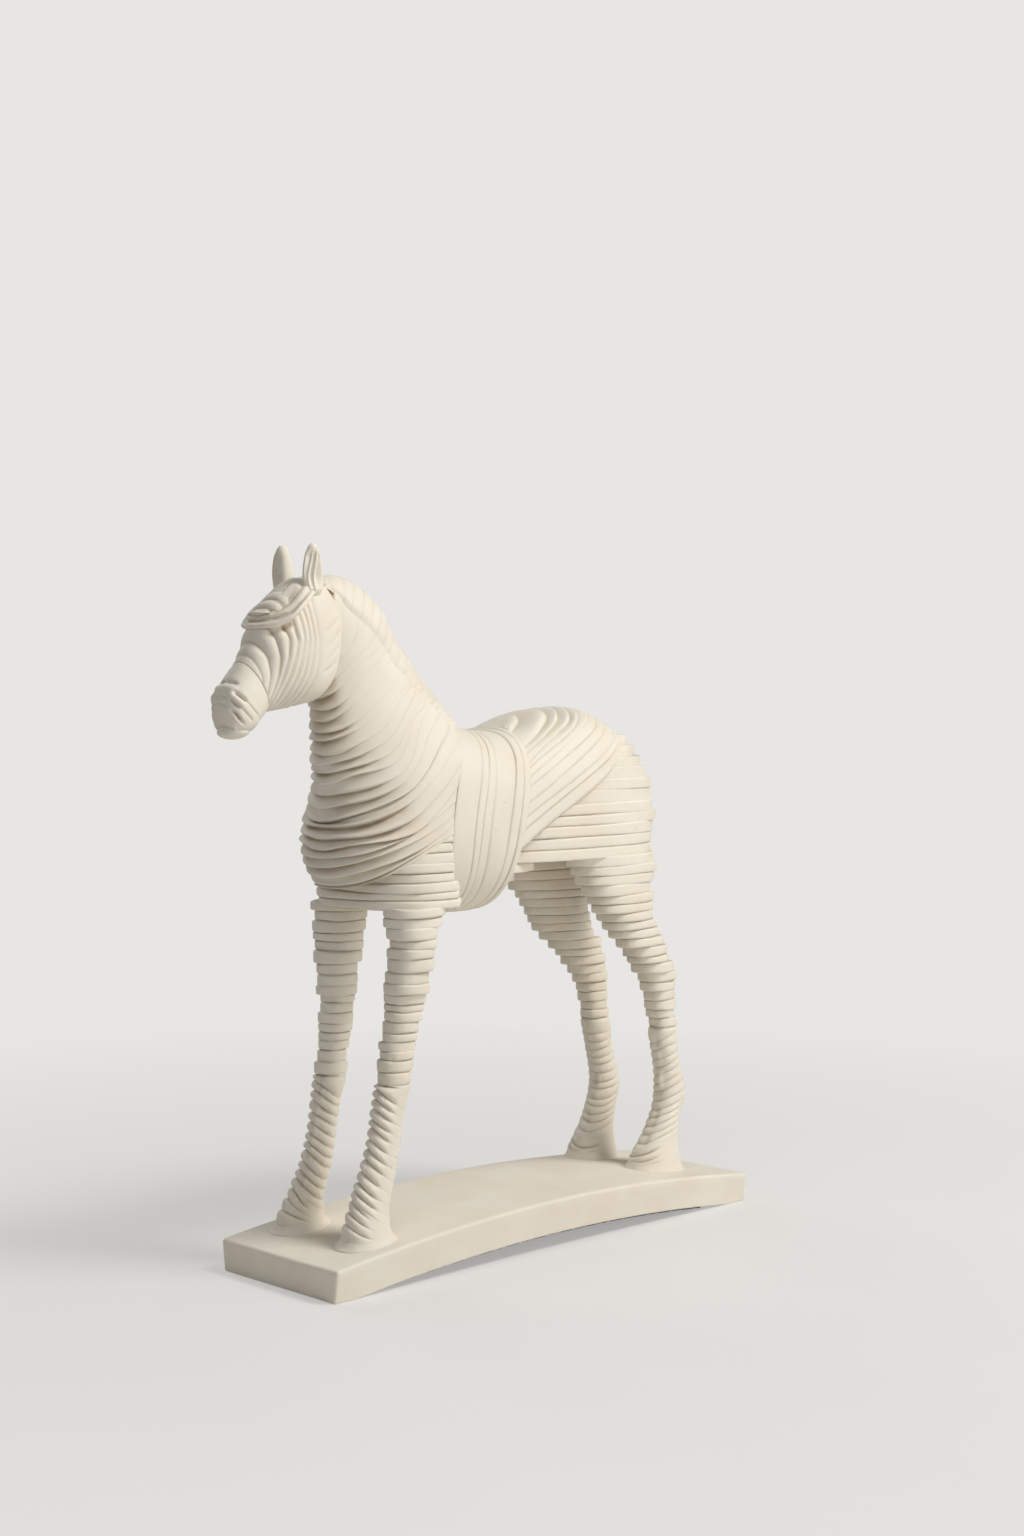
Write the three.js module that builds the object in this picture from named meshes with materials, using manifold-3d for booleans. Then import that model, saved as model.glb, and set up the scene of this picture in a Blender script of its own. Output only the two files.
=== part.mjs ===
// A standing horse built of stacked slabs and wound strips, standing on an arched plinth.
// Millimetres, +Z up. The horse looks along -X, its left side is -Y, the floor is z = 0.
import * as THREE from 'three';
import { mergeVertices } from 'three/addons/utils/BufferGeometryUtils.js';
import Module from 'manifold-3d';

const wasm = await Module();
wasm.setup();

// Driving dimensions of the plinth
const plinthLength = 280;
const plinthWidth = 80.7;
const plinthEnd = 14.6;
const plinthRise = 9.3;
const archRise = 7.2;
const landWidth = 14;
const plinthDraft = 1.6;
const plinthEdge = 1.2;
const plinthSteps = 26;
const linerInset = 32;
const linerMargin = 3;
const linerThickness = 0.9;

// How the horse stands on the plinth
const horseTurn = 2.31;
const horseAside = 4.8;
const drawnStand = 18.4;
const foreHoofX = -107.8;
const hoofSink = 3;

// Fits and wires
const gap = 0.3;
const wireDiameter = 2.6;
const wireSocket = 8;
const wireSides = 6;
const wireBends = [34, 48, 62, 78, 96, 114, 134, 150];
const foreWireTop = 196;
const hindWireTop = 200;

// Strip and slab relief
const slabJoint = 0.4;
const slabStagger = 0.7;
const wrapCrest = 0.7;
const wrapGroove = 0.8;
const legCrest = 0.5;
const legGroove = 0.7;
const legTilt = 24;
const neckStrips = 12;
const shoulderStrips = 7;
const girthStrips = 7;
const faceStrips = 9;
const maneRolls = 13;
const maneCrest = 0.8;
const maneGroove = 0.7;
const maneCrestPlace = 0.55;
const reliefAtHigh = 0.1;
const reliefGain = 0.45;

// Reach of the blocks that pieces are trimmed with
const farAway = 200;

// Points round one section of each kind of piece
const bodySides = 20;
const legSides = 12;
const maneSides = 10;

const rad = Math.PI / 180;

// Leg sections by height: [height, x, distance from the middle plane, half length, half width, turn in degrees]
const foreLeg = [
  [166, -80.6, 24.0, 16.0, 11.6, 0],
  [157, -81.2, 24.2, 13.4, 11.3, -3],
  [150, -81.6, 24.2, 12.2, 10.7, -5],
  [140, -83.2, 23.6, 11.2, 9.7, -6],
  [130, -84.2, 22.8, 10.0, 8.7, -8],
  [120, -84.9, 22.0, 9.0, 7.8, -10],
  [107, -87.2, 21.2, 8.6, 7.0, -10],
  [97, -88.8, 20.8, 8.6, 6.8, -10],
  [87, -90.2, 20.7, 8.5, 6.6, -10],
  [75, -93.4, 20.6, 7.7, 5.9, -12],
  [62, -95.8, 20.5, 7.6, 5.8, -14],
  [47, -99.6, 20.3, 8.6, 6.3, -15],
  [34, -105.0, 21.0, 9.4, 7.2, -12],
  [26, -107.4, 21.8, 11.0, 8.5, -6],
  [17, foreHoofX, 22.0, 13.4, 10.2, 0],
];
const hindLeg = [
  [183, 61.0, 21.3, 33.5, 13.4, 4],
  [172, 63.5, 21.8, 29.0, 13.0, 6],
  [165, 65.5, 22.3, 25.5, 12.4, 8],
  [157, 68.0, 23.0, 21.8, 11.8, 10],
  [150, 71.5, 23.6, 19.0, 11.0, 10],
  [140, 78.5, 23.7, 17.3, 10.2, 10],
  [130, 88.0, 23.6, 14.5, 9.5, 8],
  [122, 94.4, 23.4, 12.5, 8.9, 6],
  [112, 98.0, 23.0, 10.0, 8.0, 5],
  [100, 100.0, 22.8, 8.4, 7.1, 5],
  [90, 102.0, 22.6, 8.0, 6.8, 5],
  [75, 105.0, 22.4, 7.4, 6.4, 3],
  [62, 108.2, 22.2, 8.6, 6.8, 0],
  [55, 108.4, 22.0, 9.0, 7.0, 0],
  [47, 105.6, 21.8, 8.8, 7.0, 0],
  [38, 102.2, 21.6, 10.2, 7.6, -4],
  [30, 99.2, 21.4, 13.0, 9.0, -5],
  [23, 97.6, 21.2, 16.0, 10.6, -5],
  [16, 97.3, 21.2, 17.0, 11.4, -5],
];
const foreSlabs = [165, 160.5, 153.5, 150, 143, 138, 132, 126, 120.5, 117, 110, 105.5, 100, 95, 90.5, 87];
const hindSlabs = [182.7, 178.5, 174, 169, 163.5, 159, 154.5, 150, 145.5, 141, 136, 131, 127, 122, 117, 112, 107, 102, 97.5, 94];
const foreWound = { top: 87, turns: 8, hoof: 31 };
const hindWound = { top: 94, turns: 8, hoof: 33 };
const hoofBands = 3;
const woundCollar = 3.2;
const hoofSkirt = 2;

// Sections of neck and trunk: [low x, low z, high x, high z, half width, bow forward, squareness]
const neckLines = [
  [-121, 290, -113, 313, 9.5, 0, 2.0],
  [-120, 276, -99, 308.5, 11.5, 0, 2.0],
  [-119, 262, -84, 298, 13.5, 0, 2.0],
  [-118, 250, -75.5, 285.5, 15.5, -1, 2.0],
  [-117, 241, -66.5, 275.5, 18.0, -1.5, 2.0],
  [-115.5, 232, -58, 266.5, 21.0, -2, 2.0],
  [-114, 223, -50.5, 259.5, 24.0, -2, 2.0],
  [-113.2, 214, -45, 254, 27.5, -2, 2.05],
  [-113.4, 206, -41.5, 250.5, 31.0, -2, 2.1],
];
const neckFoot = neckLines[neckLines.length - 1];
const girthFront = [-58, 161.5, -46, 249, 34.8, 13.5, 2.4];
const girthRear = [-25, 160.5, -6, 247.2, 35.4, 1.5, 2.55];
const shoulderLines = [
  neckFoot,
  [-115.8, 198.5, -34, 249.5, 32.4, -1, 2.15],
  [-116, 190, -27, 246, 33.4, 0, 2.2],
  [-113.4, 182, -20, 238, 34.2, 1, 2.25],
  [-108.3, 175.5, -12, 226.5, 34.6, 1, 2.3],
];
const shoulderFoot = shoulderLines[shoulderLines.length - 1];
const girthLines = [
  girthFront,
  [-47, 160.4, -32, 246.8, 35.4, 10, 2.5],
  [-36, 160, -19, 245.6, 35.6, 6, 2.55],
  girthRear,
];
const rumpLines = [
  girthRear,
  [-6, 170, 10, 253.5, 35.6, 0, 2.2],
  [20, 176, 29, 256.5, 35.8, 0, 2.2],
  [46, 182, 47, 257, 35.0, 0, 2.2],
  [68, 190, 62, 252.6, 30.5, 0, 2.2],
  [82, 200, 74, 247.4, 22.5, 0, 2.1],
  [92, 210, 83, 242.5, 12.0, 0, 2.0],
];
// The diagonal lower edge of the rump wrap, from the girth up to the dock, the levels of the grooves
// above it, and how far ahead its sections start, inside the girth
const rumpEdgeLow = [-4, 199];
const rumpEdgeHigh = [83, 242.5];
const rumpGrooves = [41, 36.9, 32.1, 27.5, 23.1, 15.5, 9.7, 4.8, 0];
const rumpReach = -42;

// Haunch slabs: [height, front x, rear x, half width, squareness]
const haunchShape = [
  [246, 40, 80, 14, 2.2],
  [241, 20, 85.5, 20, 2.3],
  [235, 0, 91.5, 25, 2.4],
  [228, -20, 97.5, 28.5, 2.5],
  [220, -30, 100.5, 31.5, 2.6],
  [212, -40, 102, 33.2, 2.7],
  [204, -40, 102.8, 34.2, 2.7],
  [195, -40, 103, 34.6, 2.7],
  [183, -40, 99.5, 34.8, 2.7],
];
const haunchSlabs = [243, 238, 232.5, 227, 221.5, 216, 210, 204.5, 199.5, 194, 188.5, 183];
// Slabs that close the belly behind the girth: height of a slab, where each ends, the first one's half width
const bellyStep = 4.6;
const bellyTucks = [5, -3, -10];
const bellyHalf = 29;
const bellyNarrow = 4;
const bellyStart = -60;

// Slabs across the elbows, under the chest and the lower edge of the shoulder wrap
const elbowSlabs = [200, 195.5, 191, 186.5, 182, 177.5, 173, 169.5, 165.3];
const elbowMiddle = -72;
const elbowHalfLength = 28.5;
const elbowHalfWidth = 34.2;

// Head sections: [top x, top z, bottom x, bottom z, half width, squareness]
const headLines = [
  [-124, 315, -106, 284, 10.5, 2.1],
  [-134, 312, -113, 268, 13.8, 2.2],
  [-143, 306, -121, 260.5, 15.0, 2.3],
  [-150.5, 299.5, -129.5, 258, 14.6, 2.3],
  [-155, 292, -137, 256.4, 13.0, 2.2],
  [-158.3, 284, -144, 255.3, 10.8, 2.1],
  [-163.5, 276, -150.2, 254.3, 9.4, 2.1],
];
const muzzleLines = [
  [-163.8, 275.6, -150.6, 253.9, 9.4, 2.1],
  [-168.8, 269.6, -155, 250.6, 10.0, 2.2],
  [-173.2, 263.5, -158.6, 248.2, 10.2, 2.3],
  [-174.8, 256.5, -164, 246.4, 8.8, 2.2],
  [-173, 251.5, -168, 247.5, 5.0, 2.0],
];
const lipMiddle = [-163.4, 247.2];
const lipSize = [6.8, 7.4, 3.9];
const lipPitch = -28;

// The rolled cap over the brow
const browMiddle = [-134.5, 297.5];
const browSize = [21.5, 15.8, 15];
const browPitch = 20;
const browEdge = [-156, 290.5];

// Ears
const earX = browMiddle[0] + 4.5;
const earSide = 8.8;
const earSeat = 10.5;
const earHeight = 20.3;
const earRoot = 4;
const earFoot = browMiddle[1] + earSeat;
const earTip = earFoot + earHeight;
const earScoop = [2.6, 3.2, 8.5];
const scoopReach = 4.4;
const scoopRise = earHeight / 2;
const earLines = [
  [0, 4.0, 3.2],
  [0.3, 4.9, 3.7],
  [0.6, 5.0, 3.6],
  [0.85, 3.8, 2.8],
  [1, 1.5, 1.2],
];
const earLean = -3;
const earSplay = 2;
const earTurn = -12;
const earCup = 0.62;

// Mane rolls over the crest: [x, z, half height, half width]
const maneLine = [
  [-117.5, 311.6, 3.4, 5.5],
  [-108, 310.4, 4.0, 7.0],
  [-96.5, 304.8, 4.2, 7.8],
  [-86.5, 296.8, 4.3, 8.2],
  [-78, 286, 4.3, 8.4],
  [-69.8, 276, 4.3, 8.4],
  [-59.6, 266.4, 4.2, 8.2],
  [-49, 257.6, 4.0, 7.6],
  [-41, 250.8, 3.2, 6.0],
];

const spineWire = [
  [70, 218], [20, 216], [-40, 212], [-72, 216], [-88, 232], [-98, 256], [-108, 280], [-122, 288], [-136, 280],
];

// Colours and finishes
const resin = { color: 0xded7c4, roughness: 0.62, metalness: 0 };
const felt = { color: 0x1c1a19, roughness: 0.95, metalness: 0 };
const steel = { color: 0x8f9296, roughness: 0.35, metalness: 1 };

const horse = new THREE.Group();
const sculpture = new THREE.Group();

// A closed solid from rings of points, each end closed by strips between opposite points
function loft(rings) {
  const count = rings[0].length;
  const points = rings.flat();
  const faces = [];
  for (let r = 0; r + 1 < rings.length; r += 1) {
    for (let i = 0; i < count; i += 1) {
      const a = r * count + i;
      const b = r * count + (i + 1) % count;
      faces.push(a, b, b + count, a, b + count, a + count);
    }
  }
  const last = (rings.length - 1) * count;
  for (let i = 0; i < count / 2; i += 1) {
    const [j, k] = [(count - i) % count, count - i - 1];
    if (i > 0 && j > i + 1) faces.push(i, j, i + 1, last + i, last + i + 1, last + j);
    if (k > i + 1) faces.push(j, k, i + 1, last + j, last + i + 1, last + k);
  }
  return solidFrom(points, faces);
}

function solidFrom(points, faces) {
  let volume = 0;
  for (let f = 0; f < faces.length; f += 3) {
    const [a, b, c] = [points[faces[f]], points[faces[f + 1]], points[faces[f + 2]]];
    volume += a.dot(new THREE.Vector3().crossVectors(b, c));
  }
  if (volume < 0) faces.reverse();
  const vertProperties = new Float32Array(points.flatMap((p) => p.toArray()));
  return new wasm.Manifold(new wasm.Mesh({ numProp: 3, vertProperties, triVerts: new Uint32Array(faces) }));
}

function solidOf(geometry) {
  const plain = geometry.clone();
  plain.deleteAttribute('normal');
  plain.deleteAttribute('uv');
  const merged = mergeVertices(plain, 1e-4);
  return new wasm.Manifold(new wasm.Mesh({
    numProp: 3,
    vertProperties: merged.attributes.position.array,
    triVerts: Uint32Array.from(merged.index.array),
  }));
}

// The largest body of a cut solid, without the slivers that a cut can leave
function mainBody(solid) {
  return solid.decompose().reduce((best, body) => (body.volume() > best.volume() ? body : best));
}

function addPiece(group, name, solid, finish) {
  const mesh = mainBody(solid).getMesh();
  const geometry = new THREE.BufferGeometry();
  geometry.setAttribute('position', new THREE.BufferAttribute(mesh.vertProperties, 3));
  geometry.setIndex(new THREE.BufferAttribute(mesh.triVerts, 1));
  const flat = geometry.toNonIndexed();
  flat.computeVertexNormals();
  const piece = new THREE.Mesh(flat, new THREE.MeshStandardMaterial(finish));
  piece.name = name;
  group.add(piece);
  return piece;
}

// Smooth value of each number of a list of rows, at a place counted in rows
function rowAt(rows, place) {
  const last = rows.length - 1;
  const at = Math.min(Math.max(place, 0), last - 1e-9);
  const i = Math.floor(at);
  const t = at - i;
  const [p, a, b, q] = [rows[Math.max(i - 1, 0)], rows[i], rows[i + 1], rows[Math.min(i + 2, last)]];
  return a.map((value, k) => {
    const rise = b[k] - value;
    const enter = i > 0 ? (b[k] - p[k]) / 2 : rise;
    const leave = i + 2 <= last ? (q[k] - value) / 2 : rise;
    return value + enter * t + (3 * rise - 2 * enter - leave) * t * t + (enter + leave - 2 * rise) * t * t * t;
  });
}

// The row at a given first number, for rows whose first numbers fall
function rowAtHeight(rows, height) {
  let i = rows.findIndex((row) => row[0] <= height);
  if (i < 0) i = rows.length - 1;
  i = Math.max(i, 1);
  const place = i - 1 + (rows[i - 1][0] - height) / (rows[i - 1][0] - rows[i][0]);
  return rowAt(rows, place);
}

const bend = (value, power) => Math.sign(value) * Math.abs(value) ** power;

// A section of neck or trunk: an oval from its low to its high point, bowed forward between them
// whose relief fades towards its high point, where the strips of a fan run together
function trunkRing([lowX, lowZ, highX, highZ, half, bow, square], relief, slide = 0, room = 0) {
  const length = Math.hypot(lowX - highX, lowZ - highZ);
  const [ex, ez] = [(lowX - highX) / length, (lowZ - highZ) / length];
  return Array.from({ length: bodySides }, (_, i) => {
    const angle = (i / bodySides) * 2 * Math.PI;
    const along = bend(Math.cos(angle), 2 / square);
    const grow = room + relief * (reliefAtHigh + reliefGain * (1 + along));
    const reach = (length / 2 + grow) * along;
    const push = bow * (1 - along * along);
    return new THREE.Vector3(
      (lowX + highX) / 2 + ex * reach + ez * push + slide,
      (half + grow) * bend(Math.sin(angle), 2 / square),
      (lowZ + highZ) / 2 + ez * reach - ex * push,
    );
  });
}

// Rings of a wrap of strips: each strip swells from a groove to a crest
function wrapRings(lines, strips, makeRing) {
  const rings = [];
  const span = lines.length - 1;
  for (let k = 0; k < strips; k += 1) {
    rings.push(makeRing(rowAt(lines, (k / strips) * span), -wrapGroove));
    rings.push(makeRing(rowAt(lines, ((k + 0.4) / strips) * span), wrapCrest));
  }
  rings.push(makeRing(rowAt(lines, span), -wrapGroove));
  return rings;
}

// A flat oval slab outline
function slabRing(x, y, z, halfLength, halfWidth, square, turn, sides) {
  const [c, s] = [Math.cos(turn * rad), Math.sin(turn * rad)];
  return Array.from({ length: sides }, (_, i) => {
    const angle = (i / sides) * 2 * Math.PI;
    const u = halfLength * bend(Math.cos(angle), 2 / square);
    const v = halfWidth * bend(Math.sin(angle), 2 / square);
    return new THREE.Vector3(x + u * c - v * s, y + u * s + v * c, z);
  });
}

// How far one slab of a pile stands out from the next, repeating without a pattern that shows
const stagger = (k) => slabStagger * Math.sin(k * 2.4 + 0.6);

// Rings of a pile of slabs between falling heights
function pileRings(heights, outlineAt) {
  const rings = [];
  for (let k = 0; k + 1 < heights.length; k += 1) {
    const middle = (heights[k] + heights[k + 1]) / 2;
    const foot = k + 2 < heights.length ? heights[k + 1] + slabJoint : heights[k + 1];
    rings.push(outlineAt(middle, heights[k], k));
    rings.push(outlineAt(middle, foot, k));
  }
  return rings;
}

// The plinth: an arched slab with drafted sides and a small round along the top edges
const halfLength = plinthLength / 2;
const archHalf = halfLength - landWidth;
const plinthTop = (x) => plinthEnd + plinthRise * (1 - (x / halfLength) ** 2);
const archUnder = (x) => (Math.abs(x) < archHalf ? archRise * (1 - (x / archHalf) ** 2) : 0);

function plinthRing(x, grow) {
  const top = plinthTop(x) + grow;
  const under = archUnder(x) - grow;
  const half = plinthWidth / 2 + grow;
  const foot = half - plinthDraft;
  const outline = [
    [-foot, under], [-half, top - plinthEdge], [-half + plinthEdge * 0.3, top - plinthEdge * 0.3],
    [-half + plinthEdge, top], [half - plinthEdge, top], [half - plinthEdge * 0.3, top - plinthEdge * 0.3],
    [half, top - plinthEdge], [foot, under],
  ];
  return outline.map(([y, z]) => new THREE.Vector3(x, y, z));
}

function plinthPlaces() {
  const places = [-halfLength, -archHalf];
  for (let k = 1; k < plinthSteps; k += 1) places.push(-archHalf + (2 * archHalf * k) / plinthSteps);
  places.push(archHalf, halfLength);
  return places;
}

const plinthSolid = loft(plinthPlaces().map((x) => plinthRing(x, 0)));
const plinthRoom = loft(plinthPlaces().map((x) => plinthRing(x, gap)));

// The felt liner under the arch, clear of the floor
function linerRing(x) {
  const top = archUnder(x) - gap;
  const half = plinthWidth / 2 - plinthDraft - linerMargin;
  return [[-half, top], [half, top], [half, top - linerThickness], [-half, top - linerThickness]]
    .map(([y, z]) => new THREE.Vector3(x, y, z));
}

const linerHalf = halfLength - linerInset;
const linerPlaces = Array.from({ length: plinthSteps + 1 }, (_, k) => -linerHalf + (2 * linerHalf * k) / plinthSteps);
const linerSolid = loft(linerPlaces.map(linerRing));

// From the horse's own frame to the plinth's, and back for cutting
const standHeight = plinthTop(foreHoofX);
const lift = standHeight - drawnStand;
horse.position.set(0, horseAside, lift);
horse.rotation.z = horseTurn * rad;
const plinthForHorse = plinthRoom.translate(0, -horseAside, -lift).rotate(0, 0, -horseTurn);

// A bent wire, and the wider bore that it lies in
function wireSolid(points, grow) {
  const radius = wireDiameter / 2 + grow;
  const shape = new THREE.Shape(Array.from({ length: wireSides }, (_, i) => {
    const angle = ((i + 0.5) / wireSides) * 2 * Math.PI;
    return new THREE.Vector2(radius * Math.cos(angle), radius * Math.sin(angle));
  }));
  const path = new THREE.CatmullRomCurve3(points);
  return solidOf(new THREE.ExtrudeGeometry(shape, { steps: points.length, extrudePath: path, bevelEnabled: false }));
}

function legWirePoints(stations, side, top) {
  const heights = [drawnStand - wireSocket, drawnStand + wireDiameter, ...wireBends, top];
  return heights.map((height) => {
    const [, x, y] = rowAtHeight(stations, Math.max(height, drawnStand));
    return new THREE.Vector3(x, side * y, height);
  });
}

function extended(points, extra) {
  const first = points[0].clone().addScaledVector(points[0].clone().sub(points[1]).normalize(), extra);
  const n = points.length - 1;
  const last = points[n].clone().addScaledVector(points[n].clone().sub(points[n - 1]).normalize(), extra);
  return [first, ...points.slice(1, n), last];
}

// Legs: a pile of slabs, a wound lower part and a flared hoof, all round one wire
const legs = [
  { name: 'left_fore', side: -1, stations: foreLeg, slabs: foreSlabs, wound: foreWound, wireTop: foreWireTop },
  { name: 'right_fore', side: 1, stations: foreLeg, slabs: foreSlabs, wound: foreWound, wireTop: foreWireTop },
  { name: 'left_hind', side: -1, stations: hindLeg, slabs: hindSlabs, wound: hindWound, wireTop: hindWireTop },
  { name: 'right_hind', side: 1, stations: hindLeg, slabs: hindSlabs, wound: hindWound, wireTop: hindWireTop },
];

function legPile({ side, stations, slabs }, grow) {
  return loft(pileRings(slabs, (middle, z, k) => {
    const [, x, y, a, b, turn] = rowAtHeight(stations, middle);
    const out = grow + stagger(k);
    return slabRing(x, side * y, z, a + out, b + out, 2.2, -side * turn, legSides);
  }));
}

// A ring round the leg whose plane drops towards the rear and the outside
function tiltedRing({ side, stations }, z, tilt, grow) {
  const [, x, y, a, b, turn] = rowAtHeight(stations, z);
  const slope = Math.tan(tilt * rad);
  return slabRing(x, side * y, z, a + grow, b + grow, 2.1, -side * turn, legSides).map((p) => {
    const drop = slope * ((p.x - x) * 0.8 + (side * p.y - y) * 0.6);
    return new THREE.Vector3(p.x, p.y, z - drop);
  });
}

function woundRings(leg) {
  const { top, turns, hoof } = leg.wound;
  const rings = [tiltedRing(leg, top - gap, 0, 0)];
  for (let k = 0; k < turns; k += 1) {
    const ease = Math.min(1, (k + 1) / 3);
    const step = (top - woundCollar - hoof) / turns;
    const z = top - woundCollar - step * k;
    rings.push(tiltedRing(leg, z, legTilt * ease, -legGroove));
    rings.push(tiltedRing(leg, z - step * 0.45, legTilt * ease, legCrest));
  }
  rings.push(tiltedRing(leg, hoof, legTilt, -legGroove));
  return rings;
}

function hoofRings(leg) {
  const { hoof } = leg.wound;
  const sole = drawnStand - hoofSink;
  const rings = [tiltedRing(leg, hoof - gap * 1.1, legTilt, -legGroove)];
  for (let k = 0; k < hoofBands; k += 1) {
    const step = (hoof - drawnStand - hoofSkirt) / hoofBands;
    const z = hoof - step * k;
    const tilt = legTilt * (1 - k / hoofBands);
    rings.push(tiltedRing(leg, z - step * 0.4, tilt, legCrest));
    rings.push(tiltedRing(leg, z - step * 0.95, tilt * 0.8, -legGroove * 0.4));
  }
  rings.push(tiltedRing(leg, sole, 0, 0));
  return rings;
}

const legWires = new Map();
for (const leg of legs) {
  const points = legWirePoints(leg.stations, leg.side, leg.wireTop);
  const wire = wireSolid(points, 0);
  const bore = wireSolid(extended(points, gap), gap);
  legWires.set(leg.name, { wire, bore });
}
const allBores = [...legWires.values()].map(({ bore }) => bore);

const spinePoints = spineWire.map(([x, z]) => new THREE.Vector3(x, 0, z));
const spineSolid = wireSolid(spinePoints, 0);
const spineBore = wireSolid(extended(spinePoints, gap), gap);

// A large block, turned about Y, whose lower face passes through a point
function blockAbove([x, z], pitch) {
  const size = farAway * 2;
  const box = solidOf(new THREE.BoxGeometry(size, size, size).translate(0, 0, size / 2));
  return box.rotate(0, -pitch, 0).translate(x, 0, z);
}

// Everything ahead of a trunk section, or behind it, with a face that follows the section's bow
function beside(row, slide, farX) {
  const edge = trunkRing(row, -wrapGroove, slide).slice(0, bodySides / 2 + 1);
  const line = edge.map((p) => new THREE.Vector2(p.x, p.z));
  const n = line.length - 1;
  const rise = line[n].clone().sub(line[0]).normalize().multiplyScalar(farAway / 2);
  const points = [line[0].clone().sub(rise), ...line, line[n].clone().add(rise)];
  points.push(new THREE.Vector2(farX, points[n + 2].y), new THREE.Vector2(farX, points[0].y));
  const slab = new THREE.ExtrudeGeometry(new THREE.Shape(points), { depth: farAway, bevelEnabled: false });
  return solidOf(slab.translate(0, 0, -farAway / 2).rotateX(Math.PI / 2));
}

// The lower edge of the shoulder wrap, a little below its last groove
const shoulderSlope = Math.atan2(shoulderFoot[3] - shoulderFoot[1], shoulderFoot[2] - shoulderFoot[0]) / rad;
const shoulderEdge = [shoulderFoot[0], shoulderFoot[1] - 2 * gap];
const rumpSlope = Math.atan2(rumpEdgeHigh[1] - rumpEdgeLow[1], rumpEdgeHigh[0] - rumpEdgeLow[0]) / rad;

// Trunk pieces
const girthSolid = loft(wrapRings(girthLines, girthStrips, trunkRing));
const shoulderWhole = loft(wrapRings(shoulderLines, shoulderStrips, trunkRing));
const neckWhole = loft(wrapRings(neckLines, neckStrips, trunkRing));

// Half width of the rump at a point of the side view, found between its upright sections
function rumpHalf(x, z) {
  let [first, last] = [0, rumpLines.length - 1];
  for (let step = 0; step < 24; step += 1) {
    const middle = (first + last) / 2;
    const [lowX, lowZ, highX, highZ] = rowAt(rumpLines, middle);
    const ahead = x < lowX + ((highX - lowX) * (z - lowZ)) / (highZ - lowZ);
    [first, last] = ahead ? [first, middle] : [middle, last];
  }
  const [, lowZ, , highZ, half, , square] = rowAt(rumpLines, first);
  const along = Math.min(1, Math.abs((2 * (z - lowZ)) / (highZ - lowZ) - 1));
  return half * (1 - along ** square) ** (1 / square);
}

// The rump's strips lie in planes parallel to its lower edge, each from the spine down and forward
const rumpWay = new THREE.Vector2(rumpEdgeHigh[0] - rumpEdgeLow[0], rumpEdgeHigh[1] - rumpEdgeLow[1]).normalize();
const levelOf = (x, z) => (z - rumpEdgeLow[1]) * rumpWay.x - (x - rumpEdgeLow[0]) * rumpWay.y;

function spineAtLevel(level) {
  let [first, last] = [0, rumpLines.length - 1];
  for (let step = 0; step < 24; step += 1) {
    const middle = (first + last) / 2;
    const [, , highX, highZ] = rowAt(rumpLines, middle);
    [first, last] = levelOf(highX, highZ) > level ? [middle, last] : [first, middle];
  }
  return rowAt(rumpLines, first).slice(2, 4);
}

function rumpRing(level, relief) {
  const [spineX, spineZ] = spineAtLevel(level);
  const span = (spineX - rumpReach) / rumpWay.x;
  return Array.from({ length: bodySides }, (_, i) => {
    const angle = (i / bodySides) * 2 * Math.PI;
    const share = (1 - Math.cos(angle)) / 2;
    const reach = span * share - relief * (1 - share);
    const [x, z] = [spineX - rumpWay.x * reach, spineZ - rumpWay.y * reach];
    const half = i % (bodySides / 2) === 0 ? 0 : rumpHalf(x, z) + relief;
    return new THREE.Vector3(x, half * Math.sign(Math.sin(angle)), z);
  });
}

const rumpRings = rumpGrooves.flatMap((level, k) => {
  const crest = level + (rumpGrooves[k + 1] - level) / 2;
  return k + 1 < rumpGrooves.length ? [rumpRing(level, -wrapGroove), rumpRing(crest, wrapCrest)] : [rumpRing(level, -wrapGroove)];
});

const slabsAcross = (heights) => loft(pileRings(heights, (middle, z, k) => {
  const [, front, rear, half, square] = rowAtHeight(haunchShape, middle);
  const out = stagger(k);
  return slabRing((front + rear) / 2, 0, z, (rear - front) / 2 + out, half + out, square, 0, bodySides);
}));

const rumpSolid = loft(rumpRings).intersect(beside(girthRear, gap, farAway));
const belowRump = blockAbove([rumpEdgeLow[0], rumpEdgeLow[1] - gap], rumpSlope);
let haunchSolid = slabsAcross(haunchSlabs).subtract(belowRump);

const haunchFoot = haunchSlabs[haunchSlabs.length - 1];
bellyTucks.forEach((rear, k) => {
  const top = haunchFoot - k * bellyStep + slabJoint;
  const half = bellyHalf - bellyNarrow * k;
  const slab = [top, haunchFoot - (k + 1) * bellyStep].map((z) => (
    slabRing((rear + bellyStart) / 2, 0, z, (rear - bellyStart) / 2, half, 2.6, 0, bodySides)
  ));
  haunchSolid = haunchSolid.add(loft(slab));
});
haunchSolid = haunchSolid.intersect(beside(girthRear, gap, farAway));

const elbowSolid = loft(pileRings(elbowSlabs, (middle, z, k) => {
  const out = stagger(k) * 0.8;
  return slabRing(elbowMiddle, 0, z, elbowHalfLength + out, elbowHalfWidth + out, 2.6, 0, bodySides);
})).intersect(beside(girthFront, -gap, -farAway)).subtract(blockAbove(shoulderEdge, shoulderSlope));

const maneRing = (row, next, grow) => {
  const [x, z, high, wide] = row;
  const along = new THREE.Vector2(next[0] - x, next[1] - z).normalize();
  return Array.from({ length: maneSides }, (_, i) => {
    const angle = (i / maneSides) * 2 * Math.PI;
    const out = (high + grow) * Math.sin(angle);
    return new THREE.Vector3(x - along.y * out, (wide + grow) * Math.cos(angle), z + along.x * out);
  });
};

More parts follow.
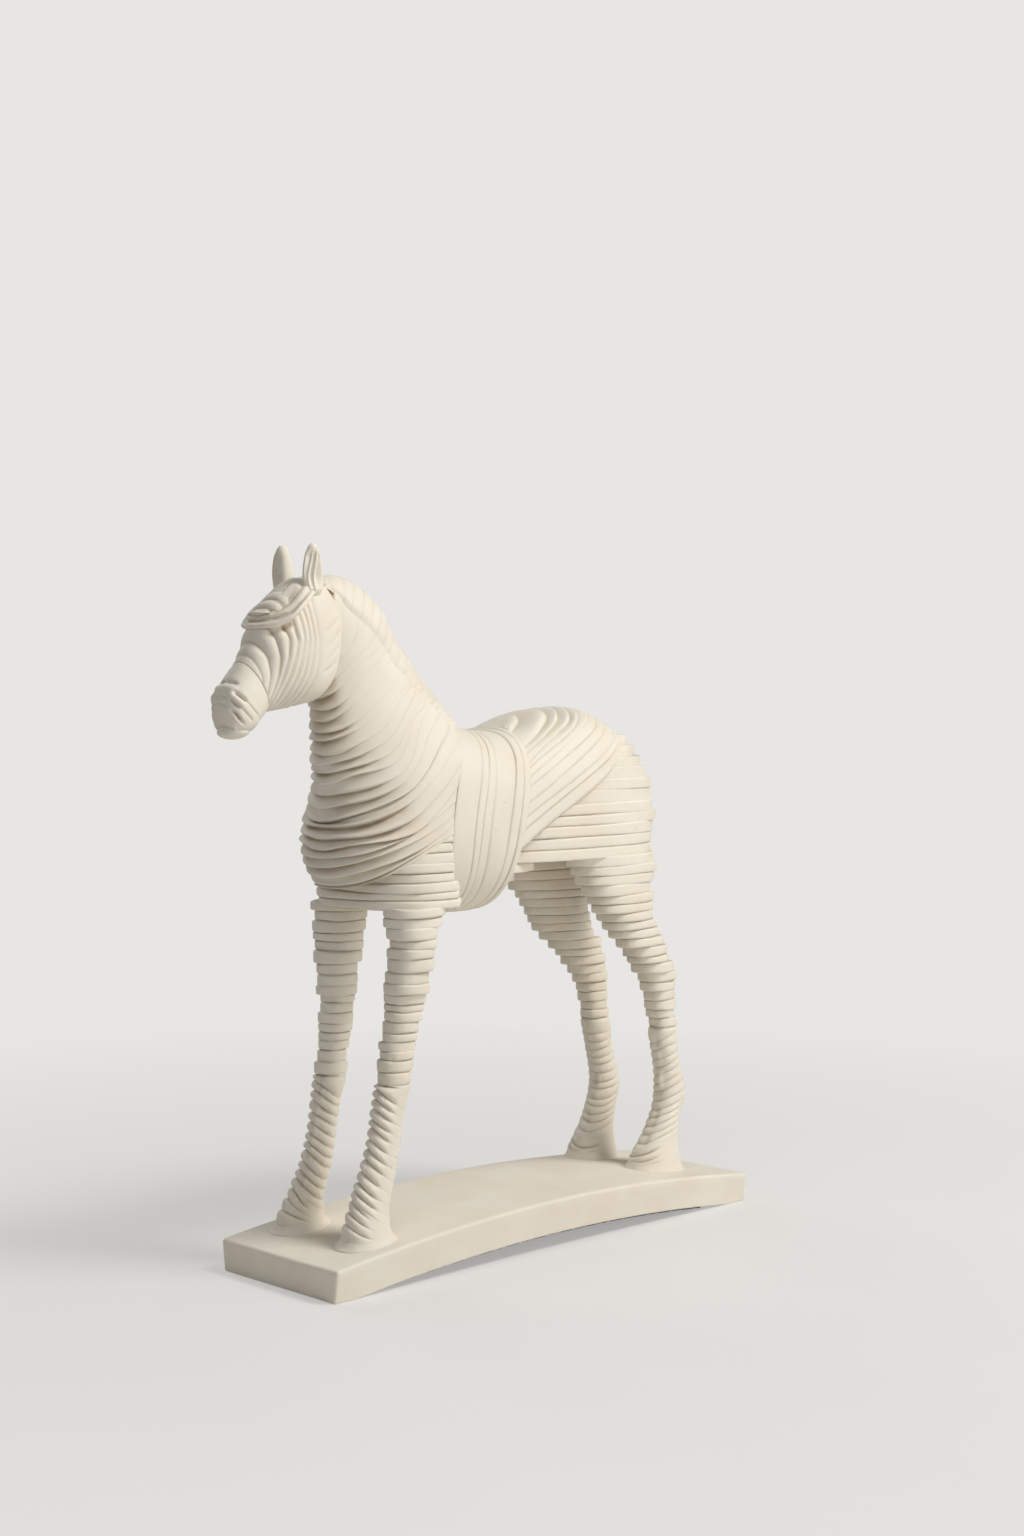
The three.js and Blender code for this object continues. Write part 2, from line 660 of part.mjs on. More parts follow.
function maneSolid(extra) {
  const rings = [];
  const span = maneLine.length - 1;
  for (let k = 0; k <= maneRolls; k += 1) {
    const place = (k / maneRolls) * span;
    const last = k === maneRolls;
    const at = last ? place - 0.02 : place;
    rings.push(maneRing(rowAt(maneLine, at), rowAt(maneLine, at + 0.01), extra - maneGroove));
    if (!last) {
      const crest = place + (maneCrestPlace / maneRolls) * span;
      rings.push(maneRing(rowAt(maneLine, crest), rowAt(maneLine, crest + 0.01), extra + maneCrest));
    }
  }
  return loft(rings);
}

// Head pieces
const headRing = ([topX, topZ, lowX, lowZ, half, square], relief, room = 0) => (
  trunkRing([lowX, lowZ, topX, topZ, half, 0, square], relief, 0, room)
);
const headWhole = loft(wrapRings(headLines, faceStrips, headRing));
const muzzleWhole = loft(muzzleLines.map((row) => headRing(row, 0)));
const muzzleRoom = loft(muzzleLines.map((row) => headRing(row, 0, gap)));

function ellipsoid([x, z], [along, across, up], pitch, grow) {
  const ball = new THREE.SphereGeometry(1, 18, 12).rotateX(Math.PI / 2);
  ball.scale(along + grow, across + grow, up + grow);
  ball.rotateY(-pitch * rad);
  ball.translate(x, 0, z);
  return solidOf(ball);
}

const browSolid = ellipsoid(browMiddle, browSize, browPitch, 0).intersect(blockAbove(browEdge, browPitch));
const browRoom = ellipsoid(browMiddle, browSize, browPitch, gap)
  .intersect(blockAbove([browEdge[0], browEdge[1] - gap], browPitch));
const lipSolid = ellipsoid(lipMiddle, lipSize, lipPitch, 0).subtract(muzzleRoom);

function earSolid(side, grow) {
  const outline = earLines.map(([t, wide, thick]) => {
    const [x, y, z] = [earX + earLean * (1 - t), side * (earSide + earSplay * t), earTip - (earHeight + earRoot) * (1 - t)];
    return slabRing(x, y, z, thick + grow, wide + grow, 2, side * earTurn, maneSides);
  });
  return loft(outline);
}

function earHollow(side) {
  const scoop = new THREE.SphereGeometry(1, 12, 8).rotateX(Math.PI / 2);
  scoop.scale(...earScoop);
  scoop.rotateZ(side * earTurn * rad);
  const [ahead, aside] = [-Math.cos(earTurn * rad) * scoopReach, Math.sin(earTurn * rad) * scoopReach];
  scoop.translate(earX + ahead, side * (earSide + earSplay * earCup + aside), earFoot + scoopRise);
  return solidOf(scoop);
}

const ears = [['left_ear', -1], ['right_ear', 1]];
const earRooms = ears.map(([, side]) => earSolid(side, gap));

const maneRoom = maneSolid(gap);
const headOuter = headWhole.add(browRoom);
const headSwell = loft(wrapRings(headLines, faceStrips, (row) => headRing(row, wrapCrest, gap)));
const headRoom = headSwell.add(headSwell.translate(gap * 2, 0, gap));
const girthRoom = loft(wrapRings(girthLines, girthStrips, (row) => trunkRing(row, wrapCrest, 0, gap)));
const cutAll = (solid, cutters) => cutters.reduce((left, cutter) => left.subtract(cutter), solid);

const shoulderSeat = shoulderWhole.translate(-gap, 0, 0).intersect(beside(girthFront, -gap, -farAway));
const shoulderSolid = cutAll(shoulderSeat, [maneRoom, ...allBores, spineBore]);
const neckLift = gap * 1.2;
const neckSeat = neckWhole.translate(-gap, 0, neckLift);

addPiece(horse, 'girth_wrap', girthSolid.subtract(spineBore), resin);
addPiece(horse, 'shoulder_wrap', shoulderSolid, resin);
addPiece(horse, 'elbow_stack', cutAll(elbowSolid, allBores), resin);
addPiece(horse, 'rump_wrap', rumpSolid.subtract(spineBore), resin);
addPiece(horse, 'haunch_stack', cutAll(haunchSolid, [...allBores, spineBore]), resin);
addPiece(horse, 'neck_wrap', cutAll(neckSeat, [maneRoom, headRoom, browRoom, girthRoom, spineBore]), resin);
addPiece(horse, 'mane', cutAll(maneSolid(0), [headRoom, browRoom, ...earRooms]), resin);
addPiece(horse, 'face_wrap', cutAll(headWhole, [browRoom, muzzleRoom, ...earRooms, spineBore]), resin);
addPiece(horse, 'brow_wrap', cutAll(browSolid, earRooms), resin);
addPiece(horse, 'muzzle', muzzleWhole, resin);
addPiece(horse, 'lower_lip', lipSolid, resin);
for (const [name, side] of ears) addPiece(horse, name, earSolid(side, 0).subtract(earHollow(side)), resin);
for (const leg of legs) {
  const { wire, bore } = legWires.get(leg.name);
  addPiece(horse, `${leg.name}_upper_leg`, legPile(leg, 0).subtract(bore), resin);
  addPiece(horse, `${leg.name}_lower_leg`, loft(woundRings(leg)).subtract(bore), resin);
  addPiece(horse, `${leg.name}_hoof`, cutAll(loft(hoofRings(leg)), [bore, plinthForHorse]), resin);
  addPiece(horse, `${leg.name}_wire`, wire, steel);
}
addPiece(horse, 'spine_wire', spineSolid, steel);

const sockets = allBores.map((bore) => bore.rotate(0, 0, horseTurn).translate(0, horseAside, lift));
addPiece(sculpture, 'plinth', cutAll(plinthSolid, sockets), resin);
addPiece(sculpture, 'felt_liner', linerSolid, felt);
sculpture.add(horse);

// The origin is the middle of the underside of the whole
sculpture.updateMatrixWorld(true);
const bounds = new THREE.Box3().setFromObject(sculpture, true);
sculpture.position.set(-(bounds.min.x + bounds.max.x) / 2, -(bounds.min.y + bounds.max.y) / 2, -bounds.min.z);

export default sculpture;
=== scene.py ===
# %% [markdown]
# A horse figurine, cast in matt resin from a model that was built of clay strips and slabs.
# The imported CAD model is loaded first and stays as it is. Each resin piece of it then gets a fuller
# piece in the same place, with the laps, joints and tool marks that a casting takes over from the clay.

# %% Load the frame
import math
from functools import partial
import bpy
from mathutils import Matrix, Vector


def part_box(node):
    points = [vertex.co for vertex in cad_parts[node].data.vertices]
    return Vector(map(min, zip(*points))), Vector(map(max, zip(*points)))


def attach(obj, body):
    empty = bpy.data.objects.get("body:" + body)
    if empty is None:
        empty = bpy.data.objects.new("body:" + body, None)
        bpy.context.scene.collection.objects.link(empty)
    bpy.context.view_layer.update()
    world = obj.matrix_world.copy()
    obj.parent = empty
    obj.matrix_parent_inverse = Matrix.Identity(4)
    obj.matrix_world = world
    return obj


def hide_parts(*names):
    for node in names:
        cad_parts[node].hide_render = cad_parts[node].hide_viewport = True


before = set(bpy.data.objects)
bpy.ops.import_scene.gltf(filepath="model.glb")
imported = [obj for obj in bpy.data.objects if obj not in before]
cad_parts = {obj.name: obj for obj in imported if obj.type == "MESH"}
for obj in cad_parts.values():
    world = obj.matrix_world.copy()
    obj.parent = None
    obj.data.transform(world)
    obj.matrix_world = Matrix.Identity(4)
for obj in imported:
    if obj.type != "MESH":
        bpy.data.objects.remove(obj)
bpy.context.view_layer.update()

from types import SimpleNamespace
import bmesh
import bpy
import numpy as np
from mathutils import Matrix, Vector

# %% [markdown]
# The camera stands where the photograph was taken from. A 50 mm lens on a 36 mm sensor gives the same
# perspective, so the picture needs no shift.

# %% Camera
camera_azimuth = math.radians(-45.11)
camera_elevation = math.radians(1.684)
camera_roll = math.radians(0.262)
camera_place = Vector((-0.71347, -0.73460, 0.2578))

flat_back = Vector((math.sin(camera_azimuth), -math.cos(camera_azimuth), 0))
back = flat_back * math.cos(camera_elevation) + Vector((0, 0, math.sin(camera_elevation)))
side = Vector((math.cos(camera_azimuth), math.sin(camera_azimuth), 0))
up = back.cross(side)
rolled_side = side * math.cos(camera_roll) + up * math.sin(camera_roll)
rolled_up = up * math.cos(camera_roll) - side * math.sin(camera_roll)
camera = bpy.data.objects.new("camera", bpy.data.cameras.new("camera"))
camera.data.lens = 50
camera.data.sensor_width = 36
turned = Matrix((rolled_side, rolled_up, back)).transposed().to_4x4()
camera.matrix_world = Matrix.Translation(camera_place) @ turned
bpy.context.scene.collection.objects.link(camera)
bpy.context.scene.camera = camera
print("camera at", [round(v, 3) for v in camera_place])

# %% [markdown]
# A small figure is best shown on a plain pale ground. A floor with an edge would draw a horizon, so a
# wide disc fades into the pale world behind it instead, and only the figure's shadow shows on it. A soft
# lamp on the right gives the shape, and weaker lamps and an even world keep the relief readable.

# %% Node helpers
PALE = (0.80, 0.79, 0.77, 1)


def add_node(tree, kind, values=None, **settings):
    """A node with its settings, whose inputs take either a number or another node's output."""
    node = tree.nodes.new(kind)
    for name, setting in settings.items():
        setattr(node, name, setting)
    for name, value in (values or {}).items():
        socket = node.inputs[name]
        if isinstance(value, bpy.types.NodeSocket):
            tree.links.new(value, socket)
        else:
            socket.default_value = value
    return node


def maths(tree, operation, *values):
    """One sum on numbers or sockets."""
    return add_node(tree, "ShaderNodeMath", dict(enumerate(values)), operation=operation).outputs[0]


def object_place(tree):
    """Where a point lies in its own object's coordinates."""
    return add_node(tree, "ShaderNodeTexCoord").outputs["Object"]


def noise(tree, place, scale, detail=2.0, roughness=0.5):
    """Soft random values round 0.5."""
    values = {"Vector": place, "Scale": scale, "Detail": detail, "Roughness": roughness}
    return add_node(tree, "ShaderNodeTexNoise", values).outputs[0]


def rescaled(tree, value, from_low=0.0, from_high=1.0, to_low=0.0, to_high=1.0):
    """A value carried from one range to another, and held inside it."""
    ends = {"From Min": from_low, "From Max": from_high, "To Min": to_low, "To Max": to_high}
    return add_node(tree, "ShaderNodeMapRange", {"Value": value, **ends}).outputs["Result"]


def blended(tree, share, first, second):
    """A mix of two colours."""
    return add_node(tree, "ShaderNodeMix", {0: share, 6: first, 7: second}, data_type="RGBA").outputs[2]


def new_material(name):
    """An empty node material and its tree."""
    material = bpy.data.materials.new(name)
    material.use_nodes = True
    material.node_tree.nodes.clear()
    return material, material.node_tree


def finish_material(tree, shader):
    """Joins a shader to the material's output."""
    add_node(tree, "ShaderNodeOutputMaterial", {"Surface": shader})


print("pale ground:", PALE[:3])

# %% Floor
DUST = (0.74, 0.73, 0.71, 1)
floor_radius = 3.0
floor_corners = 96
fade_start = 0.1
fade_end = 0.7
least_glow = 0.45

floor_finish, tree = new_material("pale floor")
where = object_place(tree)
away = add_node(tree, "ShaderNodeVectorMath", {0: where}, operation="LENGTH").outputs["Value"]
fade = rescaled(tree, away, fade_start, fade_end, least_glow)
tone = add_node(tree, "ShaderNodeValToRGB", {"Fac": noise(tree, where, scale=6.0, detail=4.0)})
tone.color_ramp.elements[0].color = DUST
tone.color_ramp.elements[1].color = PALE
matt = {"Base Color": tone.outputs["Color"], "Roughness": 0.8}
plain = add_node(tree, "ShaderNodeBsdfPrincipled", matt)
glow = add_node(tree, "ShaderNodeEmission", {"Color": PALE})
camera_ray = add_node(tree, "ShaderNodeLightPath").outputs["Is Camera Ray"]
share = maths(tree, "MULTIPLY", fade, camera_ray)
mixed = add_node(tree, "ShaderNodeMixShader", {0: share, 1: plain.outputs[0], 2: glow.outputs[0]})
finish_material(tree, mixed.outputs[0])

floor_mesh = bpy.data.meshes.new("floor")
floor_angles = np.linspace(0, 2 * np.pi, floor_corners + 1)[:-1]
rim = [(floor_radius * math.cos(a), floor_radius * math.sin(a), 0) for a in floor_angles]
floor_mesh.from_pydata(rim, [], [tuple(range(len(rim)))])
floor_mesh.materials.append(floor_finish)
floor = bpy.data.objects.new("floor", floor_mesh)
bpy.context.scene.collection.objects.link(floor)
print("floor radius:", floor_radius)

# %% World and lamps
world = bpy.data.worlds.new("studio")
bpy.context.scene.world = world
world.use_nodes = True
tree = world.node_tree
tree.nodes.clear()
ambient = add_node(tree, "ShaderNodeBackground", {"Color": (0.97, 0.97, 1.0, 1), "Strength": 0.20})
shown = add_node(tree, "ShaderNodeBackground", {"Color": PALE, "Strength": 1.0})
camera_ray = add_node(tree, "ShaderNodeLightPath").outputs["Is Camera Ray"]
seen_or_lit = {0: camera_ray, 1: ambient.outputs[0], 2: shown.outputs[0]}
mixed = add_node(tree, "ShaderNodeMixShader", seen_or_lit)
add_node(tree, "ShaderNodeOutputWorld", {"Surface": mixed.outputs[0]})
bpy.context.scene.view_settings.view_transform = "Standard"
figure_middle = Vector((0, 0, 0.16))


def soft_lamp(name, place, size, power, color):
    """A square area lamp that faces the middle of the figure."""
    lamp = bpy.data.lights.new(name, "AREA")
    lamp.size = size
    lamp.energy = power
    lamp.color = color
    holder = bpy.data.objects.new(name, lamp)
    holder.location = place
    aim = figure_middle - holder.location
    holder.rotation_euler = aim.to_track_quat("-Z", "Y").to_euler()
    bpy.context.scene.collection.objects.link(holder)
    print(name, "at", place)


soft_lamp("key lamp", (0.40, -0.70, 1.20), size=0.4, power=11.0, color=(1.0, 0.975, 0.93))
soft_lamp("side lamp", (0.55, -1.25, 0.40), size=0.6, power=4.6, color=(1.0, 0.98, 0.95))
soft_lamp("fill lamp", (-0.9, -0.55, 1.1), size=0.6, power=2.1, color=(0.97, 0.98, 1.0))
soft_lamp("back lamp", (0.1, 1.3, 0.9), size=0.8, power=5.0, color=(1.0, 0.99, 0.97))

# %% [markdown]
# The resin is a matt ivory casting. Its maker wiped a thin tan stain over it, which stays in the grooves.
# The hollows under the ridges get the same brown as painted shade, partly stain as well. Both could be
# painted on an image, but that has to be unwrapped and ends where the shape changes. Here the colour reads
# an attribute that the relief leaves on every piece, so the stain and the painted shade always follow the
# shape. Slow clouds, fine grain and a few pinholes keep the surface from looking like plastic.

# %% Resin colour
IVORY = (0.815, 0.765, 0.665, 1)
IVORY_WARM = (0.775, 0.710, 0.590, 1)
# One brown serves for the real tan stain and for the painted shade in the hollows.
STAIN_AND_SHADE = (0.37, 0.275, 0.165, 1)
most_stain_and_shade = 0.78
least_kept = 0.6

resin, tree = new_material("cast resin")
where = object_place(tree)
clouds = noise(tree, where, scale=28.0, detail=5.0, roughness=0.6)
ivory = blended(tree, rescaled(tree, clouds, from_low=0.38, from_high=0.68), IVORY, IVORY_WARM)
groove = add_node(tree, "ShaderNodeAttribute", attribute_name="groove").outputs["Fac"]
breaks = noise(tree, where, scale=90.0, detail=3.0)
kept = rescaled(tree, breaks, from_low=0.3, from_high=0.65, to_low=least_kept)
# Painted shade with real stain: the groove attribute darkens grooves by stain and hollows by painted shade.
wash = maths(tree, "MULTIPLY", maths(tree, "MULTIPLY", groove, kept), most_stain_and_shade)
stained_and_shaded = blended(tree, wash, ivory, STAIN_AND_SHADE)
print("stain at most", most_stain_and_shade)

# %% Resin pinholes and grain
pore_scale = 150.0
pore_size = 0.05
pore_patches = 0.64
pinhole_darkening = 0.75
pore_depth = 2.0
grain_share = 0.35

pores = add_node(tree, "ShaderNodeTexVoronoi", {"Vector": where, "Scale": pore_scale}).outputs["Distance"]
few = maths(tree, "GREATER_THAN", noise(tree, where, scale=45.0), pore_patches)
pinhole = maths(tree, "MULTIPLY", maths(tree, "LESS_THAN", pores, pore_size), few)
# The pinholes are drawn darker, in the same brown.
holed = blended(tree, maths(tree, "MULTIPLY", pinhole, pinhole_darkening), stained_and_shaded, STAIN_AND_SHADE)
lumps = noise(tree, where, scale=160.0, detail=3.0)
grain = noise(tree, where, scale=700.0)
height = maths(tree, "ADD", maths(tree, "MULTIPLY", grain, grain_share), lumps)
height = maths(tree, "SUBTRACT", height, maths(tree, "MULTIPLY", pinhole, pore_depth))
bump = add_node(tree, "ShaderNodeBump", {"Height": height, "Strength": 0.35, "Distance": 0.0003})
surface = add_node(tree, "ShaderNodeBsdfPrincipled", {
    "Base Color": holed,
    "Roughness": rescaled(tree, lumps, to_low=0.50, to_high=0.68),
    "Specular IOR Level": 0.38,
    "Normal": bump.outputs["Normal"],
})
finish_material(tree, surface.outputs[0])
print("resin nodes:", len(tree.nodes))

# %% [markdown]
# The liner is black pressed felt, whose short fibres hardly reflect, and the wires are drawn steel. Hair
# particles would be lost on a liner this small, so a fine noise gives both its colour and its nap. The
# wires are sealed in the resin, so they keep their CAD shape and only get a finish.

# %% Felt
FELT_DARK = (0.008, 0.008, 0.008, 1)
FELT_LIGHT = (0.045, 0.042, 0.040, 1)
felt, tree = new_material("pressed felt")
fibres = noise(tree, object_place(tree), scale=900.0, detail=4.0)
shade = add_node(tree, "ShaderNodeValToRGB", {"Fac": fibres})
shade.color_ramp.elements[0].color = FELT_DARK
shade.color_ramp.elements[1].color = FELT_LIGHT
bump = add_node(tree, "ShaderNodeBump", {"Height": fibres, "Strength": 0.6, "Distance": 0.0004})
surface = add_node(tree, "ShaderNodeBsdfPrincipled", {
    "Base Color": shade.outputs["Color"],
    "Roughness": 0.95,
    "Sheen Weight": 0.3,
    "Normal": bump.outputs["Normal"],
})
finish_material(tree, surface.outputs[0])
print("felt nodes:", len(tree.nodes))

# %% Steel
steel, tree = new_material("drawn steel")
drawn = noise(tree, object_place(tree), scale=1200.0)
surface = add_node(tree, "ShaderNodeBsdfPrincipled", {
    "Base Color": (0.52, 0.53, 0.55, 1),
    "Metallic": 1.0,
    "Roughness": rescaled(tree, drawn, to_low=0.28, to_high=0.45),
})
finish_material(tree, surface.outputs[0])
for name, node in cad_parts.items():
    if name.endswith("_wire"):
        for slot in node.material_slots:
            slot.material = steel
        print("steel finish on", name)

# %% [markdown]
# The shapes are drawn in millimetres in the horse's own frame: it looks along -X, and its middle plane is
# y = 0. One function carries finished points to the part's frame. The clay could be sculpted by hand, but
# tables of a few sections with a smooth curve through each column can be measured and changed.

# %% Shape helpers
MM = 0.001
horse_turn = math.radians(2.31)
horse_aside = 4.8
plinth_half = 140.0
plinth_end = 14.6
plinth_rise = 9.3
drawn_stand = 18.4
fore_hoof_x = -107.8
plinth_low, plinth_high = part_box("plinth")
plinth_middle = (plinth_low + plinth_high) / 2


def plinth_top(x):
    """Height of the arched top of the plinth."""
    return plinth_end + plinth_rise * (1 - (x / plinth_half) ** 2)


horse_lift = plinth_top(fore_hoof_x) - drawn_stand


def horse_to_plinth(points):
    """From the horse's frame to the plinth's, both in millimetres."""
    c, s = math.cos(horse_turn), math.sin(horse_turn)
    x, y, z = np.moveaxis(np.asarray(points, float), -1, 0)
    return np.stack([x * c - y * s, x * s + y * c + horse_aside, z + horse_lift], -1)


def plinth_to_part(points):
    """From the plinth's frame in millimetres to the part's in metres."""
    return points * MM + np.array([plinth_middle.x, plinth_middle.y, 0])


def table_at(rows, place):
    """Smooth values of a table at places counted in its rows."""
    rows = np.asarray(rows, float)
    last = len(rows) - 1
    place = np.clip(place, 0, last - 1e-9)
    i = np.floor(place).astype(int)
    t = (place - i)[..., None]
    here, after = rows[i], rows[i + 1]
    rise = after - here
    enter = np.where((i > 0)[..., None], (after - rows[np.maximum(i - 1, 0)]) / 2, rise)
    leave = np.where((i + 2 <= last)[..., None], (rows[np.minimum(i + 2, last)] - here) / 2, rise)
    return here + enter * t + (3 * rise - 2 * enter - leave) * t**2 + (enter + leave - 2 * rise) * t**3


def place_of(rows, height):
    """The place in a table whose first column falls, at a given height."""
    heights = np.asarray(rows, float)[:, 0]
    return np.interp(-np.asarray(height, float), -heights, np.arange(len(heights)))


def bend(value, power):
    """A power that keeps the sign, which squares off an oval."""
    return np.sign(value) * np.abs(value) ** power


def smooth_step(low, high, value):
    """0 below low, 1 above high, and a soft curve between. With low above high it falls."""
    t = np.clip((value - low) / (high - low), 0, 1)
    return t * t * (3 - 2 * t)


def unit(vectors, least=1e-6):
    """Vectors of length 1."""
    return vectors / np.maximum(np.linalg.norm(vectors, axis=-1, keepdims=True), least)


def ripples(seed, count, angles, waves=6):
    """Smooth random curves round a piece, each mostly between -1 and 1."""
    random = np.random.RandomState(seed)
    total = np.zeros((count, len(angles)))
    for wave in range(1, waves + 1):
        size = random.normal(size=(count, 1)) / wave**0.7
        total += size * np.cos(wave * angles + random.uniform(0, 2 * np.pi, (count, 1)))
    return total / 1.8


print("the horse stands", round(horse_lift, 3), "mm above its drawing")


# %% Mesh helpers
def grid_normals(grid, closed=True):
    """Outward directions of a grid whose columns run round a piece."""
    along = np.gradient(grid, axis=0)
    if closed:
        across = (np.roll(grid, -1, 1) - np.roll(grid, 1, 1)) / 2
    else:
        across = np.gradient(grid, axis=1)
    normal = unit(np.cross(along, across), 1e-9)
    outward = grid - grid.mean(axis=(0, 1))
    if (normal * outward).sum() < 0:
        normal = -normal
    return normal


def quad_mesh(name, points, quads, fans, fields, to_part):
    """A mesh from points in mm, four-sided and three-sided faces and named point values."""
    spots = points[quads]
    facing = np.cross(spots[:, 1] - spots[:, 0], spots[:, 2] - spots[:, 0])
    volume = (facing * spots[:, 0]).sum()
    if volume < 0:
        quads = quads[:, ::-1]
        fans = fans[:, ::-1]
    mesh = bpy.data.meshes.new(name)
    corners = np.concatenate([quads.ravel(), fans.ravel()]).astype(np.int32)
    starts = np.concatenate([np.arange(len(quads)) * 4, len(quads) * 4 + np.arange(len(fans)) * 3])
    mesh.vertices.add(len(points))
    mesh.vertices.foreach_set("co", to_part(points).astype(np.float32).ravel())
    mesh.loops.add(len(corners))
    mesh.loops.foreach_set("vertex_index", corners)
    mesh.polygons.add(len(starts))
    mesh.polygons.foreach_set("loop_start", starts.astype(np.int32))
    mesh.update(calc_edges=True)
    for field, values in fields.items():
        vector = values.ndim == 2
        layer = mesh.attributes.new(field, "FLOAT_VECTOR" if vector else "FLOAT", "POINT")
        layer.data.foreach_set("vector" if vector else "value", values.astype(np.float32).ravel())
    mesh.shade_smooth()
    return mesh


def horse_to_part(points):
    """From the horse's frame in millimetres to the part's in metres."""
    return plinth_to_part(horse_to_plinth(points))


def loft_faces(rows, columns):
    """Faces of a closed tube of rows, with a fan of triangles on each end."""
    index = np.arange(rows * columns).reshape(rows, columns)
    beside = np.roll(index, -1, 1)
    quads = np.stack([index[:-1], beside[:-1], beside[1:], index[1:]], -1).reshape(-1, 4)
    first = np.full(columns, rows * columns)
    top = np.stack([first, beside[0], index[0]], -1)
    bottom = np.stack([first + 1, index[-1], beside[-1]], -1)
    return quads, np.concatenate([top, bottom])


def loft(name, grid, fields, to_part=horse_to_part):
    """A closed mesh from rings of points, with fields given as grids too."""
    rows, columns = grid.shape[:2]
    points = np.concatenate([grid.reshape(-1, 3), [grid[0].mean(0)], [grid[-1].mean(0)]])
    spread = {}
    for field, values in fields.items():
        if values.ndim == 3:
            spread[field] = np.concatenate([values.reshape(-1, 3), np.zeros((2, 3))])
        else:
            full = np.broadcast_to(values, (rows, columns))
            spread[field] = np.concatenate([full.ravel(), [full[0].mean()], [full[-1].mean()]])
    quads, fans = loft_faces(rows, columns)
    return quad_mesh(name, points, quads, fans, spread, to_part)


print("faces of a small tube:", [len(faces) for faces in loft_faces(3, 8)])

# %% [markdown]
# Every strip and slab on the horse was laid by hand, over or beside the one before. Each could be modelled
# by itself, but they all follow one rule, so one Geometry Nodes tree makes them all. A base
# mesh carries a lap value that counts the strips, the strip's width in mm, and how strong its crest and
# its groove are at each place. The tree pushes each point out or in by a height that is added up below.

# %% Inputs of the relief tree
relief = bpy.data.node_groups.new("lapped relief", "GeometryNodeTree")
relief.interface.new_socket("Geometry", in_out="INPUT", socket_type="NodeSocketGeometry")
relief.interface.new_socket("Geometry", in_out="OUTPUT", socket_type="NodeSocketGeometry")
relief_sizes = {
    "Crest": 1.0,
    "Sink": 0.5,
    "Rise": 2.2,
    "Lip": 0.2,
    "Slope": 1.5,
    "Groove": 0.8,
    "Groove Width": 0.45,
    "Stand": 0.0,
    "Stand Turns": 0.4,
    "Drag": 0.05,
    "Wave": 0.15,
    # The next value sets how dark the hollows under the crests are painted, as stain and painted shade.
    "Wash": 0.25,
    "Soften": 0.5,
    "Seed": 1.0,
}
for size_name, size in relief_sizes.items():
    socket = relief.interface.new_socket(size_name, in_out="INPUT", socket_type="NodeSocketFloat")
    socket.default_value = size
relief.interface.new_socket("Material", in_out="INPUT", socket_type="NodeSocketMaterial")
entry = relief.nodes.new("NodeGroupInput").outputs

print("relief inputs:", ", ".join(relief_sizes))


# %% Values that the mesh carries
def named(field, kind="FLOAT"):
    """A named point value of the mesh that the tree works on."""
    values = {"Name": field}
    return add_node(relief, "GeometryNodeInputNamedAttribute", values, data_type=kind).outputs[0]


plus = partial(maths, relief, "ADD")
minus = partial(maths, relief, "SUBTRACT")
times = partial(maths, relief, "MULTIPLY")
divided = partial(maths, relief, "DIVIDE")
raised = partial(maths, relief, "POWER")
smaller = partial(maths, relief, "MINIMUM")
larger = partial(maths, relief, "MAXIMUM")
floored = partial(maths, relief, "FLOOR")
exponent = partial(maths, relief, "EXPONENT")

snap = 0.0005
lap = named("lap")
strip = floored(plus(lap, snap))
part = larger(minus(lap, strip), 0.0)
push = named("push", "FLOAT_VECTOR")
where = add_node(relief, "GeometryNodeInputPosition").outputs[0]

print("relief tree nodes so far:", len(relief.nodes))

# %% [markdown]
# Across a strip the surface rises to a crest and falls behind it. The share of the strip in front of the
# crest is its lip. A narrow groove runs along each edge, and the stain gathers in it. The hollow just
# under each crest is darkened too, as painted shade that is partly stain.

# %% Crest and groove
mark_reach = 1.7
cut_stain = 0.48
carve_stain = 0.28

rise = smaller(divided(part, entry["Lip"]), 1.0)
lip = minus(1.0, raised(minus(1.0, rise), entry["Rise"]))
behind = divided(minus(part, entry["Lip"]), minus(1.0, entry["Lip"]))
fall = minus(1.0, raised(larger(behind, 0.0), entry["Slope"]))
mark = named("mark")
marked = smaller(times(mark, mark_reach), 1.0)
dip = times(minus(1.0, times(lip, fall)), marked)
ease = named("ease")
above = minus(minus(1.0, dip), entry["Sink"])
crest = times(above, times(entry["Crest"], ease))

edge = times(smaller(part, minus(1.0, part)), named("width"))
near = divided(edge, entry["Groove Width"])
narrow = exponent(times(times(near, near), -1.0))
cut = times(narrow, mark)
carve = named("carve")
depth = plus(times(cut, entry["Groove"]), carve)
# Painted shade, partly stain: the hollow under each crest is darkened, most where the strips bulge.
shaded = times(times(dip, times(dip, ease)), entry["Wash"])
carved = times(larger(carve, 0.0), carve_stain)
# The share of brown for the resin: the stain of grooves and carved lines, and the painted hollow shade.
stain_and_hollow_shade = smaller(plus(times(cut, cut_stain), plus(shaded, carved)), 1.0)
print("relief tree nodes so far:", len(relief.nodes))

# %% Stand of each strip
per_metre = 100.0
strip_apart = 3.71
seed_apart = 7.13
stand_gain = 5.0

spot = add_node(relief, "ShaderNodeSeparateXYZ", {0: where}).outputs
turns = times(entry["Stand Turns"], per_metre)
strip_seed = plus(times(strip, strip_apart), times(entry["Seed"], seed_apart))
corner = add_node(relief, "ShaderNodeCombineXYZ", {
    0: strip_seed,
    1: times(spot["X"], turns),
    2: times(spot["Y"], turns),
}).outputs[0]
stand = minus(noise(relief, corner, scale=1.0, detail=0.0), 0.5)
stand = times(stand, times(entry["Stand"], stand_gain))
stand = times(stand, named("loose"))
print("relief tree nodes so far:", len(relief.nodes))

